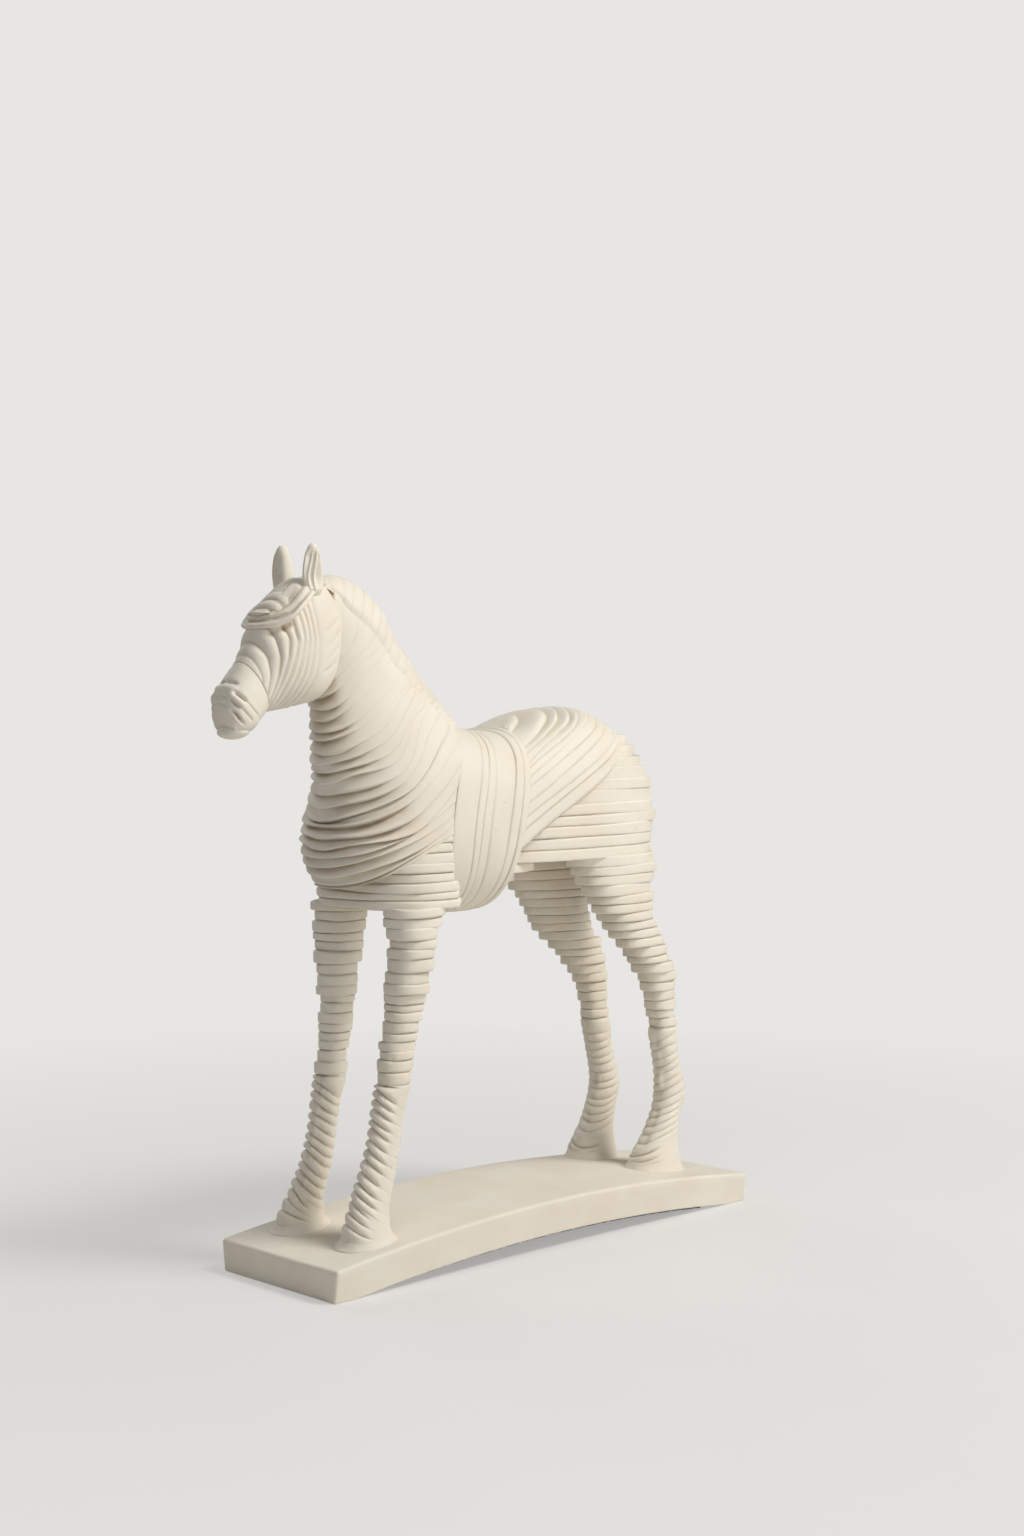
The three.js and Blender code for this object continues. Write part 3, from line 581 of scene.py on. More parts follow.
# %% Drag lines and waves
drags_per_strip = 7.0
drags_per_mm = 0.045
wave_scale = 75.0

drag_place = add_node(relief, "ShaderNodeCombineXYZ", {
    0: times(lap, drags_per_strip),
    1: times(named("along"), drags_per_mm),
    2: entry["Seed"],
}).outputs[0]
drag = minus(noise(relief, drag_place, scale=1.0, detail=3.0), 0.5)
drag = times(drag, times(entry["Drag"], 2.0))
wave = minus(noise(relief, where, wave_scale), 0.5)
wave = times(wave, times(entry["Wave"], 2.0))
print("relief tree nodes so far:", len(relief.nodes))

# %% End of the relief tree
height = plus(minus(crest, depth), plus(stand, plus(drag, wave)))
smoothing = {0: height, "Iterations": 3, "Weight": entry["Soften"]}
soft = add_node(relief, "GeometryNodeBlurAttribute", smoothing).outputs[0]
in_metres = times(soft, MM)
scaled = {0: push, "Scale": in_metres}
offset = add_node(relief, "ShaderNodeVectorMath", scaled, operation="SCALE").outputs[0]
pushed = {"Geometry": entry["Geometry"], "Offset": offset}
moved = add_node(relief, "GeometryNodeSetPosition", pushed).outputs[0]
# The stain and the painted shade go to the resin as the groove attribute.
kept = add_node(relief, "GeometryNodeStoreNamedAttribute", {"Geometry": moved, "Name": "groove"},
                data_type="FLOAT", domain="POINT")
relief.links.new(stain_and_hollow_shade, kept.inputs["Value"])
real = add_node(relief, "GeometryNodeRealizeInstances", {"Geometry": kept.outputs[0]}).outputs[0]
dressed = {"Geometry": real, "Material": entry["Material"]}
painted = add_node(relief, "GeometryNodeSetMaterial", dressed).outputs[0]
add_node(relief, "NodeGroupOutput", {0: painted})
print("relief tree nodes:", len(relief.nodes))

# %% [markdown]
# A modifier could stay on each piece, but a plain mesh is safer to hand over, as nothing changes it later.
# So one helper gives a base mesh to the tree and reads the result back. Another hands it to the frame: it
# rides on the one body and stands for its CAD node, which it hides.

# %% Hand over a piece
made_faces = 0


def hand_over(mesh, node):
    """Links a finished mesh as a piece that stands for a CAD node."""
    global made_faces
    piece = bpy.data.objects.new(node + "_piece", mesh)
    bpy.context.scene.collection.objects.link(piece)
    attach(piece, "root")
    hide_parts(node)
    mesh.calc_loop_triangles()
    made_faces += len(mesh.loop_triangles)
    print(node, len(mesh.loop_triangles), "triangles")


def with_relief(mesh, **sizes):
    """The mesh after the lapped relief tree, as a plain mesh."""
    holder = bpy.data.objects.new(mesh.name, mesh)
    bpy.context.scene.collection.objects.link(holder)
    modifier = holder.modifiers.new("relief", "NODES")
    modifier.node_group = relief
    for item in relief.interface.items_tree:
        if item.in_out == "INPUT" and item.name in relief_sizes:
            asked = sizes.get(item.name.lower().replace(" ", "_"), relief_sizes[item.name])
            modifier[item.identifier] = float(asked)
        if item.in_out == "INPUT" and item.name == "Material":
            modifier[item.identifier] = resin
    bpy.context.view_layer.update()
    evaluated = holder.evaluated_get(bpy.context.evaluated_depsgraph_get())
    plain_mesh = bpy.data.meshes.new_from_object(evaluated)
    bpy.data.objects.remove(holder)
    plain_mesh.shade_smooth()
    return plain_mesh


print("inputs that a relief can be given:", len(relief_sizes))

# %% [markdown]
# Strips are laid out on the base as laps: strip k lies between edge k and edge k + 1. Their edges could be
# drawn as curves and cut in, but then every change would mean cutting again. Here the rows of the mesh
# follow the edges and crowd close to each one, so the grooves stay sharp. The edges wander a little round
# the piece, as hand-laid clay does.

# %% Laps
def lap_rows(strips, fractions):
    """Lap values of the mesh rows of a wrap."""
    return np.array([k + f for k in range(strips) for f in fractions] + [strips - 1e-4])


def lap_places(edges, laps, wander):
    """Place in the section table for each lap value and column."""
    lines = np.asarray(edges, float)[:, None] + wander
    k = np.minimum(np.floor(laps).astype(int), len(edges) - 2)
    part = (laps - k)[:, None]
    return lines[k] * (1 - part) + lines[k + 1] * part


def edge_wander(seed, count, angles, size, waves=6):
    """How far each edge wanders round a piece. The first and the last one keep to their places."""
    wander = ripples(seed, count, angles, waves) * size
    wander[0] = 0
    wander[-1] = 0
    return wander


def strip_widths(grid, laps):
    """Width in mm of the strip that each row and column lies on."""
    k = np.floor(laps).astype(int)
    starts = [np.argmax(k == n) for n in range(k.max() + 1)] + [len(laps) - 1]
    widths = np.stack([np.linalg.norm(grid[b] - grid[a], axis=-1) for a, b in zip(starts, starts[1:])])
    return widths[k]


def along_rows(grid):
    """Distance in mm round each row."""
    steps = np.linalg.norm(np.diff(grid, axis=1, prepend=grid[:, -1:]), axis=-1)
    steps[:, 0] = 0
    return np.cumsum(steps, axis=1)


def edge_marks(seed, laps, angles, low, high, waves=5, uneven=0.0):
    """Strength of the grooves beside each row, which fade in and out along the strips."""
    edges = int(np.floor(laps.max())) + 2
    own = np.random.RandomState(seed + 50).uniform(-0.5, 0.5, (edges, 1)) * uneven
    strength = np.clip(0.62 + own + 0.5 * ripples(seed, edges, angles, waves), 0, 1)
    k = np.floor(laps).astype(int)
    part = smooth_step(0.15, 0.85, laps - k)[:, None]
    return low + (high - low) * (strength[k] * (1 - part) + strength[k + 1] * part)


print("rows of two halved strips:", lap_rows(2, (0, 0.5)))

# %% Points of each piece
round_fractions = (0, 0.03, 0.07, 0.12, 0.18, 0.26, 0.38, 0.52, 0.66, 0.78, 0.87, 0.93, 0.97)
slab_fractions = (0, 0.02, 0.05, 0.09, 0.15, 0.30, 0.50, 0.70, 0.85, 0.91, 0.95, 0.98)


def lap_fields(grid, laps, **own):
    """Point values of a wrap whose rows lie at the given laps, with its own ones added."""
    fields = {
        "lap": np.broadcast_to(laps[:, None], grid.shape[:2]),
        "push": grid_normals(grid),
        "width": strip_widths(grid, laps),
        "along": along_rows(grid),
    }
    fields.update(own)
    return fields


def plain_fields(grid, **own):
    """Point values that leave a grid plain, with its own ones added."""
    ones = np.ones(grid.shape[:2])
    fields = {
        "lap": 0.5 * ones,
        "push": grid_normals(grid),
        "width": 5 * ones,
        "along": along_rows(grid),
        "ease": 0 * ones,
        "mark": 0 * ones,
    }
    fields.update(own)
    return fields


def around(columns):
    """Angles of the columns of a ring."""
    return np.arange(columns) / columns * 2 * np.pi


def even_angles(columns, square, stretch):
    """Angles whose points lie evenly spaced round an oval that is stretched along its length."""
    fine = np.linspace(0, 2 * np.pi, 4001)
    u = stretch * bend(np.cos(fine), 2 / square)
    v = bend(np.sin(fine), 2 / square)
    passed = np.concatenate([[0], np.cumsum(np.hypot(np.diff(u), np.diff(v)))])
    return np.interp(np.arange(columns) / columns * passed[-1], passed, fine)


def dents(seed, grid, count, low_size, high_size, depth):
    """Depth in mm of small random pits on a grid."""
    random = np.random.RandomState(seed)
    total = np.zeros(grid.shape[:2])
    for _ in range(count):
        row = random.randint(grid.shape[0])
        column = random.randint(grid.shape[1])
        size = random.uniform(low_size, high_size)
        apart = np.linalg.norm(grid - grid[row, column], axis=-1)
        total += depth * random.uniform(0.5, 1.0) * np.exp(-(apart / size) ** 2)
    return total


print("rows on each rounded strip:", len(round_fractions), "and on each slab:", len(slab_fractions))

# %% [markdown]
# The neck, the shoulder and the girth are one trunk. Each section is an oval that leans from a low point
# at the throat or chest to a high point on the crest, so its strips sweep up and back to the withers. A
# plain tube along a curve couldn't do that, because its rings stay square to the curve.

# %% Trunk sections
neck_lines = [
    [-121, 290, -113, 313, 9.5, 0, 2.0],
    [-120, 276, -99, 308.5, 11.5, 0, 2.0],
    [-119, 262, -84, 298, 13.5, 0, 2.0],
    [-118, 250, -75.5, 285.5, 15.5, -1, 2.0],
    [-117, 241, -66.5, 275.5, 18.0, -1.5, 2.0],
    [-115.5, 232, -58, 266.5, 21.0, -2, 2.0],
    [-114, 223, -50.5, 259.5, 24.0, -2, 2.0],
    [-113.2, 214, -45, 254, 27.5, -2, 2.05],
    [-113.4, 206, -41.5, 250.5, 31.0, -2, 2.1],
    [-115.8, 198.5, -34, 249.5, 32.4, -1, 2.15],
    [-116, 190, -27, 246, 33.4, 0, 2.2],
    [-113.4, 182, -20, 238, 34.2, 1, 2.25],
    [-108.3, 175.5, -12, 226.5, 34.6, 1, 2.3],
]
neck_end = 8
girth_lines = [
    [-58, 161.5, -46, 249, 34.8, 13.5, 2.4],
    [-47, 160.4, -32, 246.8, 35.4, 10, 2.5],
    [-36, 160, -19, 245.6, 35.6, 6, 2.55],
    [-25, 160.5, -6, 247.2, 35.4, 1.5, 2.55],
]


def trunk_points(rows, place, angle):
    """Points of the trunk at places in a section table and angles from the low point."""
    low_x, low_z, high_x, high_z, half, bow, square = np.moveaxis(table_at(rows, place), -1, 0)
    length = np.hypot(low_x - high_x, low_z - high_z)
    step_x, step_z = (low_x - high_x) / length, (low_z - high_z) / length
    along = bend(np.cos(angle), 2 / square)
    reach = length / 2 * along
    bulge = bow * (1 - along**2)
    x = (low_x + high_x) / 2 + step_x * reach + step_z * bulge
    z = (low_z + high_z) / 2 + step_z * reach - step_x * bulge
    return np.stack([x, half * bend(np.sin(angle), 2 / square), z], -1)


def side_line(row):
    """The middle line of one trunk section in the side view, as heights and x values that rise."""
    points = trunk_points([row, row], np.zeros(41), np.linspace(0, np.pi, 41))
    return points[:, 2], points[:, 0]


trunk_axis_z = 208.0


def tucked(grid, behind, depth):
    """Sinks the points that another piece covers, by how far they lie behind its edge."""
    sink = smooth_step(0.5, 4.0, behind)[..., None] * depth
    axis_point = grid * np.array([1.0, 0.0, 0.0]) + np.array([0.0, 0.0, trunk_axis_z])
    return grid + unit(axis_point - grid) * sink


girth_front_z, girth_front_x = side_line(girth_lines[0])
girth_rear_z, girth_rear_x = side_line(girth_lines[-1])
print("girth front edge at mid height:", round(float(np.interp(205, girth_front_z, girth_front_x)), 1))

# %% Groove heights of the neck
throat_grooves = [
    289, 284.2, 279, 274, 269.3, 264.3, 259.7, 255, 250,
    244.8, 240, 235.2, 231, 226.5, 221.9, 216.7, 211.8,
]
chest_grooves = [206.5, 202, 197, 192.6, 188, 183.7, 179.6]


def places_of_grooves(grooves, first, last):
    """Places in the neck table whose low points lie at the given heights, between two places."""
    places = place_of([[row[1]] for row in neck_lines], grooves)
    return [first, *places[1:], last]


print("neck strips:", len(throat_grooves), "and shoulder strips:", len(chest_grooves))


# %% Run of the strips
def from_front(angle):
    """Angle from the low point of a section, whichever side it is on."""
    return np.minimum(angle, 2 * np.pi - angle)


def strip_run(place, angle):
    """How far a strip leaves its section: it sags at the shoulder and climbs steeply to the crest."""
    front = from_front(angle)
    sag = np.interp(place, [5, 6.5, 8, 9.1, 9.6, 12], [0, 0.2, 0.1, 1.0, 1.0, 0])
    climb = np.interp(place, [4, 5, 6.5, 8, 9.1, 10, 12], [0, -0.6, -1.4, -1.0, -0.9, -0.3, 0])
    return sag * smooth_step(0.2, 1.3, front) + climb * smooth_step(1.15, 2.0, front)


def no_run(place, angle):
    """Strips that keep to their sections."""
    return 0 * place * angle


def front_share(place, angle):
    """1 where the strips stand out as ridges in front, 0 on the sides. Low down they reach further."""
    start = np.interp(place, [3, 9], [0.45, 0.85])
    end = np.interp(place, [3, 9], [1.0, 1.45])
    return 1 - smooth_step(start, end, from_front(angle))


def neck_ease(place, angle):
    """The strips bulge at the throat and chest, and flatten on the sides."""
    return 0.08 + 0.97 * front_share(place, angle) * smooth_step(0.4, 2.2, place)


def neck_mark(place, angle):
    """The grooves are thin lines on the upper neck, and deeper towards the chest."""
    return 0.3 + 0.25 * smooth_step(2, 7, place) + 0.35 * front_share(place, angle)


print("ridges in front and at the side:", [round(float(front_share(5, a)), 2) for a in (0, 0.8, 1.5)])


# %% Trunk wrap helper
def trunk_wrap(name, rows, edges, seed, columns, wander_size, ease_at, mark_at, run=strip_run, tuck=4.0):
    """A wrap of strips on the trunk, ready for the relief tree."""
    angles = around(columns)
    laps = lap_rows(len(edges) - 1, round_fractions)
    wander = edge_wander(seed, len(edges), angles, wander_size)
    wander += run(np.asarray(edges)[:, None], angles[None, :])
    places = lap_places(edges, laps, wander)
    turned = np.broadcast_to(angles, places.shape)
    grid = trunk_points(rows, places, turned)
    grid = tucked(grid, grid[..., 0] - np.interp(grid[..., 2], girth_front_z, girth_front_x), tuck)
    own_ease = edge_marks(seed + 2, laps, angles, low=0.45, high=1.2, waves=4)
    own_mark = edge_marks(seed + 1, laps, angles, low=0.25, high=1.0)
    ease = ease_at(places, turned) * own_ease
    return loft(name, grid, lap_fields(grid, laps, ease=ease, mark=own_mark * mark_at(places, turned)))


neck_edges = places_of_grooves(throat_grooves + [206], 0, neck_end)
shoulder_edges = places_of_grooves(chest_grooves + [175.5], neck_end, len(neck_lines) - 1)
print("places of the shoulder's edges:", [round(float(place), 1) for place in shoulder_edges])

# %% Neck and shoulder wraps
# The throat and chest get the darkest stain and painted shade in the hollows under their crests.
lapped = dict(lip=0.87, rise=0.62, slope=1.3, groove=0.2, groove_width=0.36, drag=0.12, wash=1.15)
on_neck = dict(rows=neck_lines, ease_at=neck_ease, mark_at=neck_mark)
neck_mesh = trunk_wrap("neck", edges=neck_edges, seed=11, columns=240, wander_size=0.16, **on_neck)
hand_over(with_relief(neck_mesh, **lapped, crest=3.1, seed=1), "neck_wrap")
shoulder_mesh = trunk_wrap("shoulder", edges=shoulder_edges, seed=23, columns=280, wander_size=0.2,
                           **on_neck)
hand_over(with_relief(shoulder_mesh, **lapped, crest=3.6, seed=2), "shoulder_wrap")

# %% [markdown]
# The girth is a broad band of six strips behind the shoulders. It laps over the chest strips in front and
# ends in a double roll at the rear. It could be a belt laid round a finished trunk, but then the trunk
# would have to be made under it as well. Its strips are almost flat, with fine upright lines.

# %% Girth wrap
girth_edges = [0.0, 0.9, 1.18, 1.5, 2.32, 2.70, 3.0]
girth_marks = 0.75


def girth_ease(place, angle):
    """The rear roll stands out twice as far as the band."""
    return 0.5 + 0.5 * smooth_step(2.2, 2.5, place)


def girth_mark(place, angle):
    """Every edge of the girth shows alike."""
    return girth_marks + 0 * place


girth_mesh = trunk_wrap("girth", girth_lines, girth_edges, seed=37, columns=280, wander_size=0.035,
                        ease_at=girth_ease, mark_at=girth_mark, run=no_run, tuck=0.0)
# The girth's hollows get only a little stain and painted shade.
girth_relief = dict(lip=0.12, slope=5.0, groove=0.6, groove_width=0.4, drag=0.24, wash=0.14)
hand_over(with_relief(girth_mesh, **girth_relief, crest=0.75, seed=3), "girth_wrap")

# %% [markdown]
# The rump strips lie in parallel planes that rise to the rear at the angle of the wrap's lower edge. Each
# one comes square over the back, hooks round and runs down to the girth. Sections square to the back would
# cross the strips, so the body's width is looked up at any point of the side view instead, and the strips
# can cut across its upright sections at their own angle.

# %% Rump sections
rump_lines = [
    [-45, 160.3, -26, 245.2, 35.0, 1.5, 2.55],
    [-25, 160.5, -6, 247.2, 35.4, 1.5, 2.55],
    [-6, 170, 10, 253.5, 35.6, 0, 2.2],
    [20, 176, 29, 256.5, 35.8, 0, 2.2],
    [46, 182, 47, 257, 35.0, 0, 2.2],
    [68, 190, 62, 252.6, 30.5, 0, 2.2],
    [82, 200, 74, 247.4, 22.5, 0, 2.1],
    [92, 210, 83, 242.5, 12.0, 0, 2.0],
]
rump_edge_low = np.array([-4.0, 199.0])
rump_edge_high = np.array([83.0, 242.5])
rump_slope = (rump_edge_high - rump_edge_low) / np.linalg.norm(rump_edge_high - rump_edge_low)
rump_rise = np.array([-rump_slope[1], rump_slope[0]])
search_steps = 24


def rump_half(x, z):
    """Half width of the rump at points of the side view, found between its upright sections."""
    low = np.zeros_like(x)
    high = np.full_like(x, len(rump_lines) - 1.0)
    for _ in range(search_steps):
        middle = (low + high) / 2
        row = table_at(rump_lines, middle)
        share = (z - row[..., 1]) / (row[..., 3] - row[..., 1])
        ahead = x < row[..., 0] + (row[..., 2] - row[..., 0]) * share
        high = np.where(ahead, middle, high)
        low = np.where(ahead, low, middle)
    row = table_at(rump_lines, (low + high) / 2)
    share = np.clip((z - row[..., 1]) / (row[..., 3] - row[..., 1]), 0, 1)
    along = np.abs(2 * share - 1)
    return row[..., 4] * (1 - along ** row[..., 6]) ** (1 / row[..., 6])


spine = table_at(rump_lines, np.linspace(0, len(rump_lines) - 1, 400))[:, 2:4]
spine_levels = spine @ rump_rise


def spine_at(level):
    """The point of the spine where a plane of the rump strips meets it."""
    return np.stack([np.interp(-level, -spine_levels, spine[:, k]) for k in (0, 1)], -1)


print("rump levels from", round(float(spine_levels[-1]), 1), "to", round(float(spine_levels[0]), 1))

# %% Rump planes
rump_low_level = float(rump_edge_low @ rump_rise)
rump_levels = [
    225.0, 223.7, 222.2, 216.9, 214.3, 210.9, 208.8,
    205.6, 202.5, 197.0, 191.2, 186.3, rump_low_level,
]
half_columns = 90
reach_front = -40.0
rump_pull = 0.085

rump_arc = 1 - np.cos(np.linspace(0, np.pi / 2, half_columns))
rump_laps = lap_rows(len(rump_levels) - 1, round_fractions)
turn = np.concatenate([-np.linspace(1, 0, half_columns), np.linspace(0, 1, half_columns)[1:]])
rump_angles = turn * 2.6
rump_wander = ripples(41, len(rump_levels), rump_angles) * 0.7
rump_wander[:3] *= 0.15
level = lap_places(rump_levels, rump_laps, rump_wander)
start = spine_at(level)
arc = np.concatenate([rump_arc[::-1], rump_arc[1:]])[None, :, None]
span = (start[..., :1] - reach_front) / rump_slope[0]
flat = start - rump_slope * (span * arc)
half = rump_half(flat[..., 0], flat[..., 1])
half[:, half_columns - 1] = 0
rear_edge = smooth_step(10.3, 12.0, rump_laps)[:, None] * smooth_step(25, 60, flat[..., 0])
half = half * (1 - rump_pull * rear_edge)
rump_grid = np.stack([flat[..., 0], half * np.sign(turn)[None, :], flat[..., 1]], -1)
print("rump strips:", len(rump_levels) - 1)

# %% Rump wrap
rump_push = grid_normals(rump_grid, closed=False)
if rump_push[:, half_columns - 1, 2].mean() < 0:
    rump_push = -rump_push
behind_girth = np.interp(rump_grid[..., 2], girth_rear_z, girth_rear_x) - rump_grid[..., 0]
rump_grid = tucked(rump_grid, behind_girth, depth=3.0)
near_spine = (1 - smooth_step(0.3, 0.75, np.abs(turn)))[None, :]
rump_hooks = 1 - 0.9 * smooth_step(4.5, 6.5, rump_laps)[:, None]
rump_roll = smooth_step(10.0, 10.6, rump_laps)[:, None]
rump_own = {
    "push": rump_push,
    "ease": 0.12 + 1.35 * near_spine * rump_hooks + 0.3 * rump_roll,
    "mark": edge_marks(43, rump_laps, rump_angles, low=0.35, high=1.0) + 0 * level,
}
rump_mesh = loft("rump", rump_grid, lap_fields(rump_grid, rump_laps, **rump_own))
# The bowls near the spine get some stain and painted shade.
rump_relief = dict(lip=0.74, rise=1.0, slope=1.15, sink=0.75, groove=0.22, groove_width=0.4,
                   drag=0.14, wash=0.2, soften=1.0)
hand_over(with_relief(rump_mesh, **rump_relief, crest=2.1, seed=4), "rump_wrap")

# %% [markdown]
# The haunch, the elbows and the upper legs are piles of flat slabs. Single slabs with gaps between them
# would leave hundreds of hidden faces, so each pile is one closed skin. The same tree makes it with other
# sizes: hardly any crest, a thin joint, and a random stand that differs from slab to slab, so that their
# edges step in and out as on a pile of thin boards.

# %% Haunch sections
haunch_shape = [
    [246, 40, 79, 15.5, 2.1],
    [241, 20, 84.5, 22.3, 2.3],
    [235, 0, 91.0, 27.5, 2.4],
    [228, -20, 97.3, 31.0, 2.5],
    [220, -30, 100.5, 31.5, 2.6],
    [212, -40, 102, 33.2, 2.7],
    [204, -40, 102.8, 34.2, 2.7],
    [195, -40, 103, 34.3, 2.7],
    [183, -40, 99.5, 34.2, 2.7],
]
haunch_joints = [243, 238, 232.5, 227, 221.5, 216, 210, 204.5, 199.5, 194, 188.5, 183]

print("haunch slabs:", len(haunch_joints) - 1)


# %% Slab pile helper
LEVEL = np.array([1.0, 1.0, 0.0])
joint_wander = 0.26
dent_count = 14


def slab_pile(joints, outline_at, seed, angles, lean=None, flank_hold=0.3):
    """A pile of slabs between falling heights. outline_at gives ring points and their directions."""
    laps = lap_rows(len(joints) - 1, slab_fractions)
    heights = lap_places(joints, laps, edge_wander(seed, len(joints), angles, joint_wander, waves=4))
    middles = np.asarray([(a + b) / 2 for a, b in zip(joints, joints[1:])])
    k = np.floor(laps).astype(int)
    middle = middles[k][:, None] + 0 * heights
    centre, ring = outline_at(middle, np.broadcast_to(angles, heights.shape))
    grid = np.concatenate([centre + ring, heights[..., None]], -1)
    if lean is not None:
        grid = lean(grid)
    tangent = np.roll(ring, -1, 1) - np.roll(ring, 1, 1)
    push = unit(np.stack([tangent[..., 1], -tangent[..., 0], 0 * heights], -1), 1e-9)
    if (push[..., :2] * ring).sum() < 0:
        push = -push
    fields = {
        "lap": np.broadcast_to(laps[:, None], heights.shape),
        "push": push,
        "width": np.abs(np.diff(joints))[k][:, None] + 0 * heights,
        "along": along_rows(grid),
        "ease": np.ones_like(heights),
        "mark": edge_marks(seed + 1, laps, angles, low=0.12, high=1.0, uneven=0.9) + 0 * heights,
        "carve": dents(seed + 2, grid, dent_count, low_size=0.5, high_size=1.3, depth=0.7),
        "loose": flank_hold + (1 - flank_hold) * np.abs(push[..., 0]) ** 1.5,
    }
    return grid, fields


def oval(middle_x, half_length, half_width, square, angle, turn=0.0, middle_y=0.0):
    """Centres and ring offsets of flat ovals."""
    u = half_length * bend(np.cos(angle), 2 / square)
    v = half_width * bend(np.sin(angle), 2 / square)
    c, s = np.cos(turn), np.sin(turn)
    centre = np.stack([middle_x + 0 * u, middle_y + 0 * u], -1)
    return centre, np.stack([u * c - v * s, u * s + v * c], -1)


def level_inward(grid, middle_x):
    """Level directions from points to the upright line at middle_x."""
    return unit((np.array([middle_x, 0.0, 0.0]) - grid) * LEVEL)


print("slab joints wander by about", joint_wander, "mm")


# %% Haunch stack
haunch_middle = 35.0
haunch_tuck = 2.8
haunch_girth_tuck = 3.0
slab_sizes = dict(crest=0.35, lip=0.1, slope=6.0, groove=1.1, groove_width=0.28, drag=0.10, wave=0.15,
                  soften=0.3)


def haunch_outline(height, angle):
    """Rings of the haunch."""
    row = table_at(haunch_shape, place_of(haunch_shape, height))
    front, rear, half, square = np.moveaxis(row[..., 1:], -1, 0)
    return oval((front + rear) / 2, (rear - front) / 2, half, square, angle)


def under_rump(grid):
    """Sinks what the rump wrap and the girth cover."""
    above = grid[..., 0] * rump_rise[0] + grid[..., 2] * rump_rise[1] - rump_low_level
    covered = smooth_step(0.0, 5.0, above)[..., None]
    ahead = np.interp(grid[..., 2], girth_rear_z, girth_rear_x) - grid[..., 0]
    hidden = smooth_step(0.0, 4.0, ahead)[..., None]
    return grid + level_inward(grid, haunch_middle) * (covered * haunch_tuck + hidden * haunch_girth_tuck)


haunch_angles = even_angles(260, square=2.6, stretch=2.0)
grid, fields = slab_pile(haunch_joints, haunch_outline, seed=53, angles=haunch_angles, lean=under_rump,
                         flank_hold=0.15)
shows_rear = smooth_step(86, 99, grid[..., 0])
shows_front = smooth_step(75, 25, grid[..., 0]) * smooth_step(216, 206, grid[..., 2])
shows_low = 0.6 * smooth_step(197, 188, grid[..., 2])
fields["mark"] = fields["mark"] * (0.12 + 0.88 * np.maximum(np.maximum(shows_rear, shows_front), shows_low))
haunch_mesh = loft("haunch", grid, fields)
print("haunch points:", len(haunch_mesh.vertices))

# %% Belly slabs
belly_joints = [183, 178.4, 173.8, 169.2]
belly_slabs = [
    [180.7, -60, 5, 29],
    [176.1, -60, -3, 25],
    [171.5, -60, -10, 21],
]
belly_square = 3.0


def belly_outline(height, angle):
    """Rings of the slabs under the belly."""
    row = table_at(belly_slabs, place_of(belly_slabs, height))
    front, rear, half = np.moveaxis(row[..., 1:], -1, 0)
    return oval((front + rear) / 2, (rear - front) / 2, half, belly_square, angle)


def joined(name, meshes):
    """One mesh from several, with their point values."""
    pile = bmesh.new()
    for mesh in meshes:
        pile.from_mesh(mesh)
    whole = bpy.data.meshes.new(name)
    pile.to_mesh(whole)
    pile.free()
    return whole


belly_angles = even_angles(160, belly_square, stretch=1.2)
grid, fields = slab_pile(belly_joints, belly_outline, seed=57, angles=belly_angles)
haunch_mesh = joined("haunch and belly", [haunch_mesh, loft("belly", grid, fields)])
hand_over(with_relief(haunch_mesh, **slab_sizes, stand=1.8, stand_turns=0.25, seed=5), "haunch_stack")

# %% Elbow stack
elbow_joints = [200, 195.5, 191, 186.5, 182, 177.5, 173, 169.5, 165.3]
elbow_middle = -72.0
elbow_half_length = 28.5
elbow_half_width = 34.2
elbow_square = 2.6
elbow_tuck = 4.0
elbow_girth_tuck = 2.5
shoulder_foot = neck_lines[-1]
shoulder_way = np.array([shoulder_foot[2] - shoulder_foot[0], shoulder_foot[3] - shoulder_foot[1]])
shoulder_way = shoulder_way / np.linalg.norm(shoulder_way)
shoulder_out = np.array([-shoulder_way[1], shoulder_way[0]])
shoulder_level = float(np.array([shoulder_foot[0], shoulder_foot[1]]) @ shoulder_out)


def under_shoulder(grid):
    """Sinks what the shoulder and the girth cover."""
    above = grid[..., 0] * shoulder_out[0] + grid[..., 2] * shoulder_out[1] - shoulder_level
    covered = smooth_step(0.0, 4.0, above)[..., None]
    behind = grid[..., 0] - np.interp(grid[..., 2], girth_front_z, girth_front_x)
    hidden = smooth_step(0.0, 3.0, behind)[..., None]
    return grid + level_inward(grid, elbow_middle) * (covered * elbow_tuck + hidden * elbow_girth_tuck)


def elbow_outline(height, angle):
    """Rings of the elbow slabs."""
    return oval(elbow_middle + 0 * height, elbow_half_length, elbow_half_width, elbow_square, angle)


elbow_angles = even_angles(220, elbow_square, stretch=0.83)
grid, fields = slab_pile(elbow_joints, elbow_outline, seed=61, angles=elbow_angles, lean=under_shoulder)
elbow_mesh = with_relief(loft("elbow", grid, fields), **slab_sizes, stand=1.3, stand_turns=0.35, seed=6)
hand_over(elbow_mesh, "elbow_stack")

# %% [markdown]
# Each leg is one bent column: a slab pile above the knee, a wound shin below it and a flared hoof. A bone
# and a skin modifier would give round tubes, but these sections are ovals that turn on their way down, so
# two tables hold their height, place, half lengths and turn, one for the forelegs and one for the hind legs.

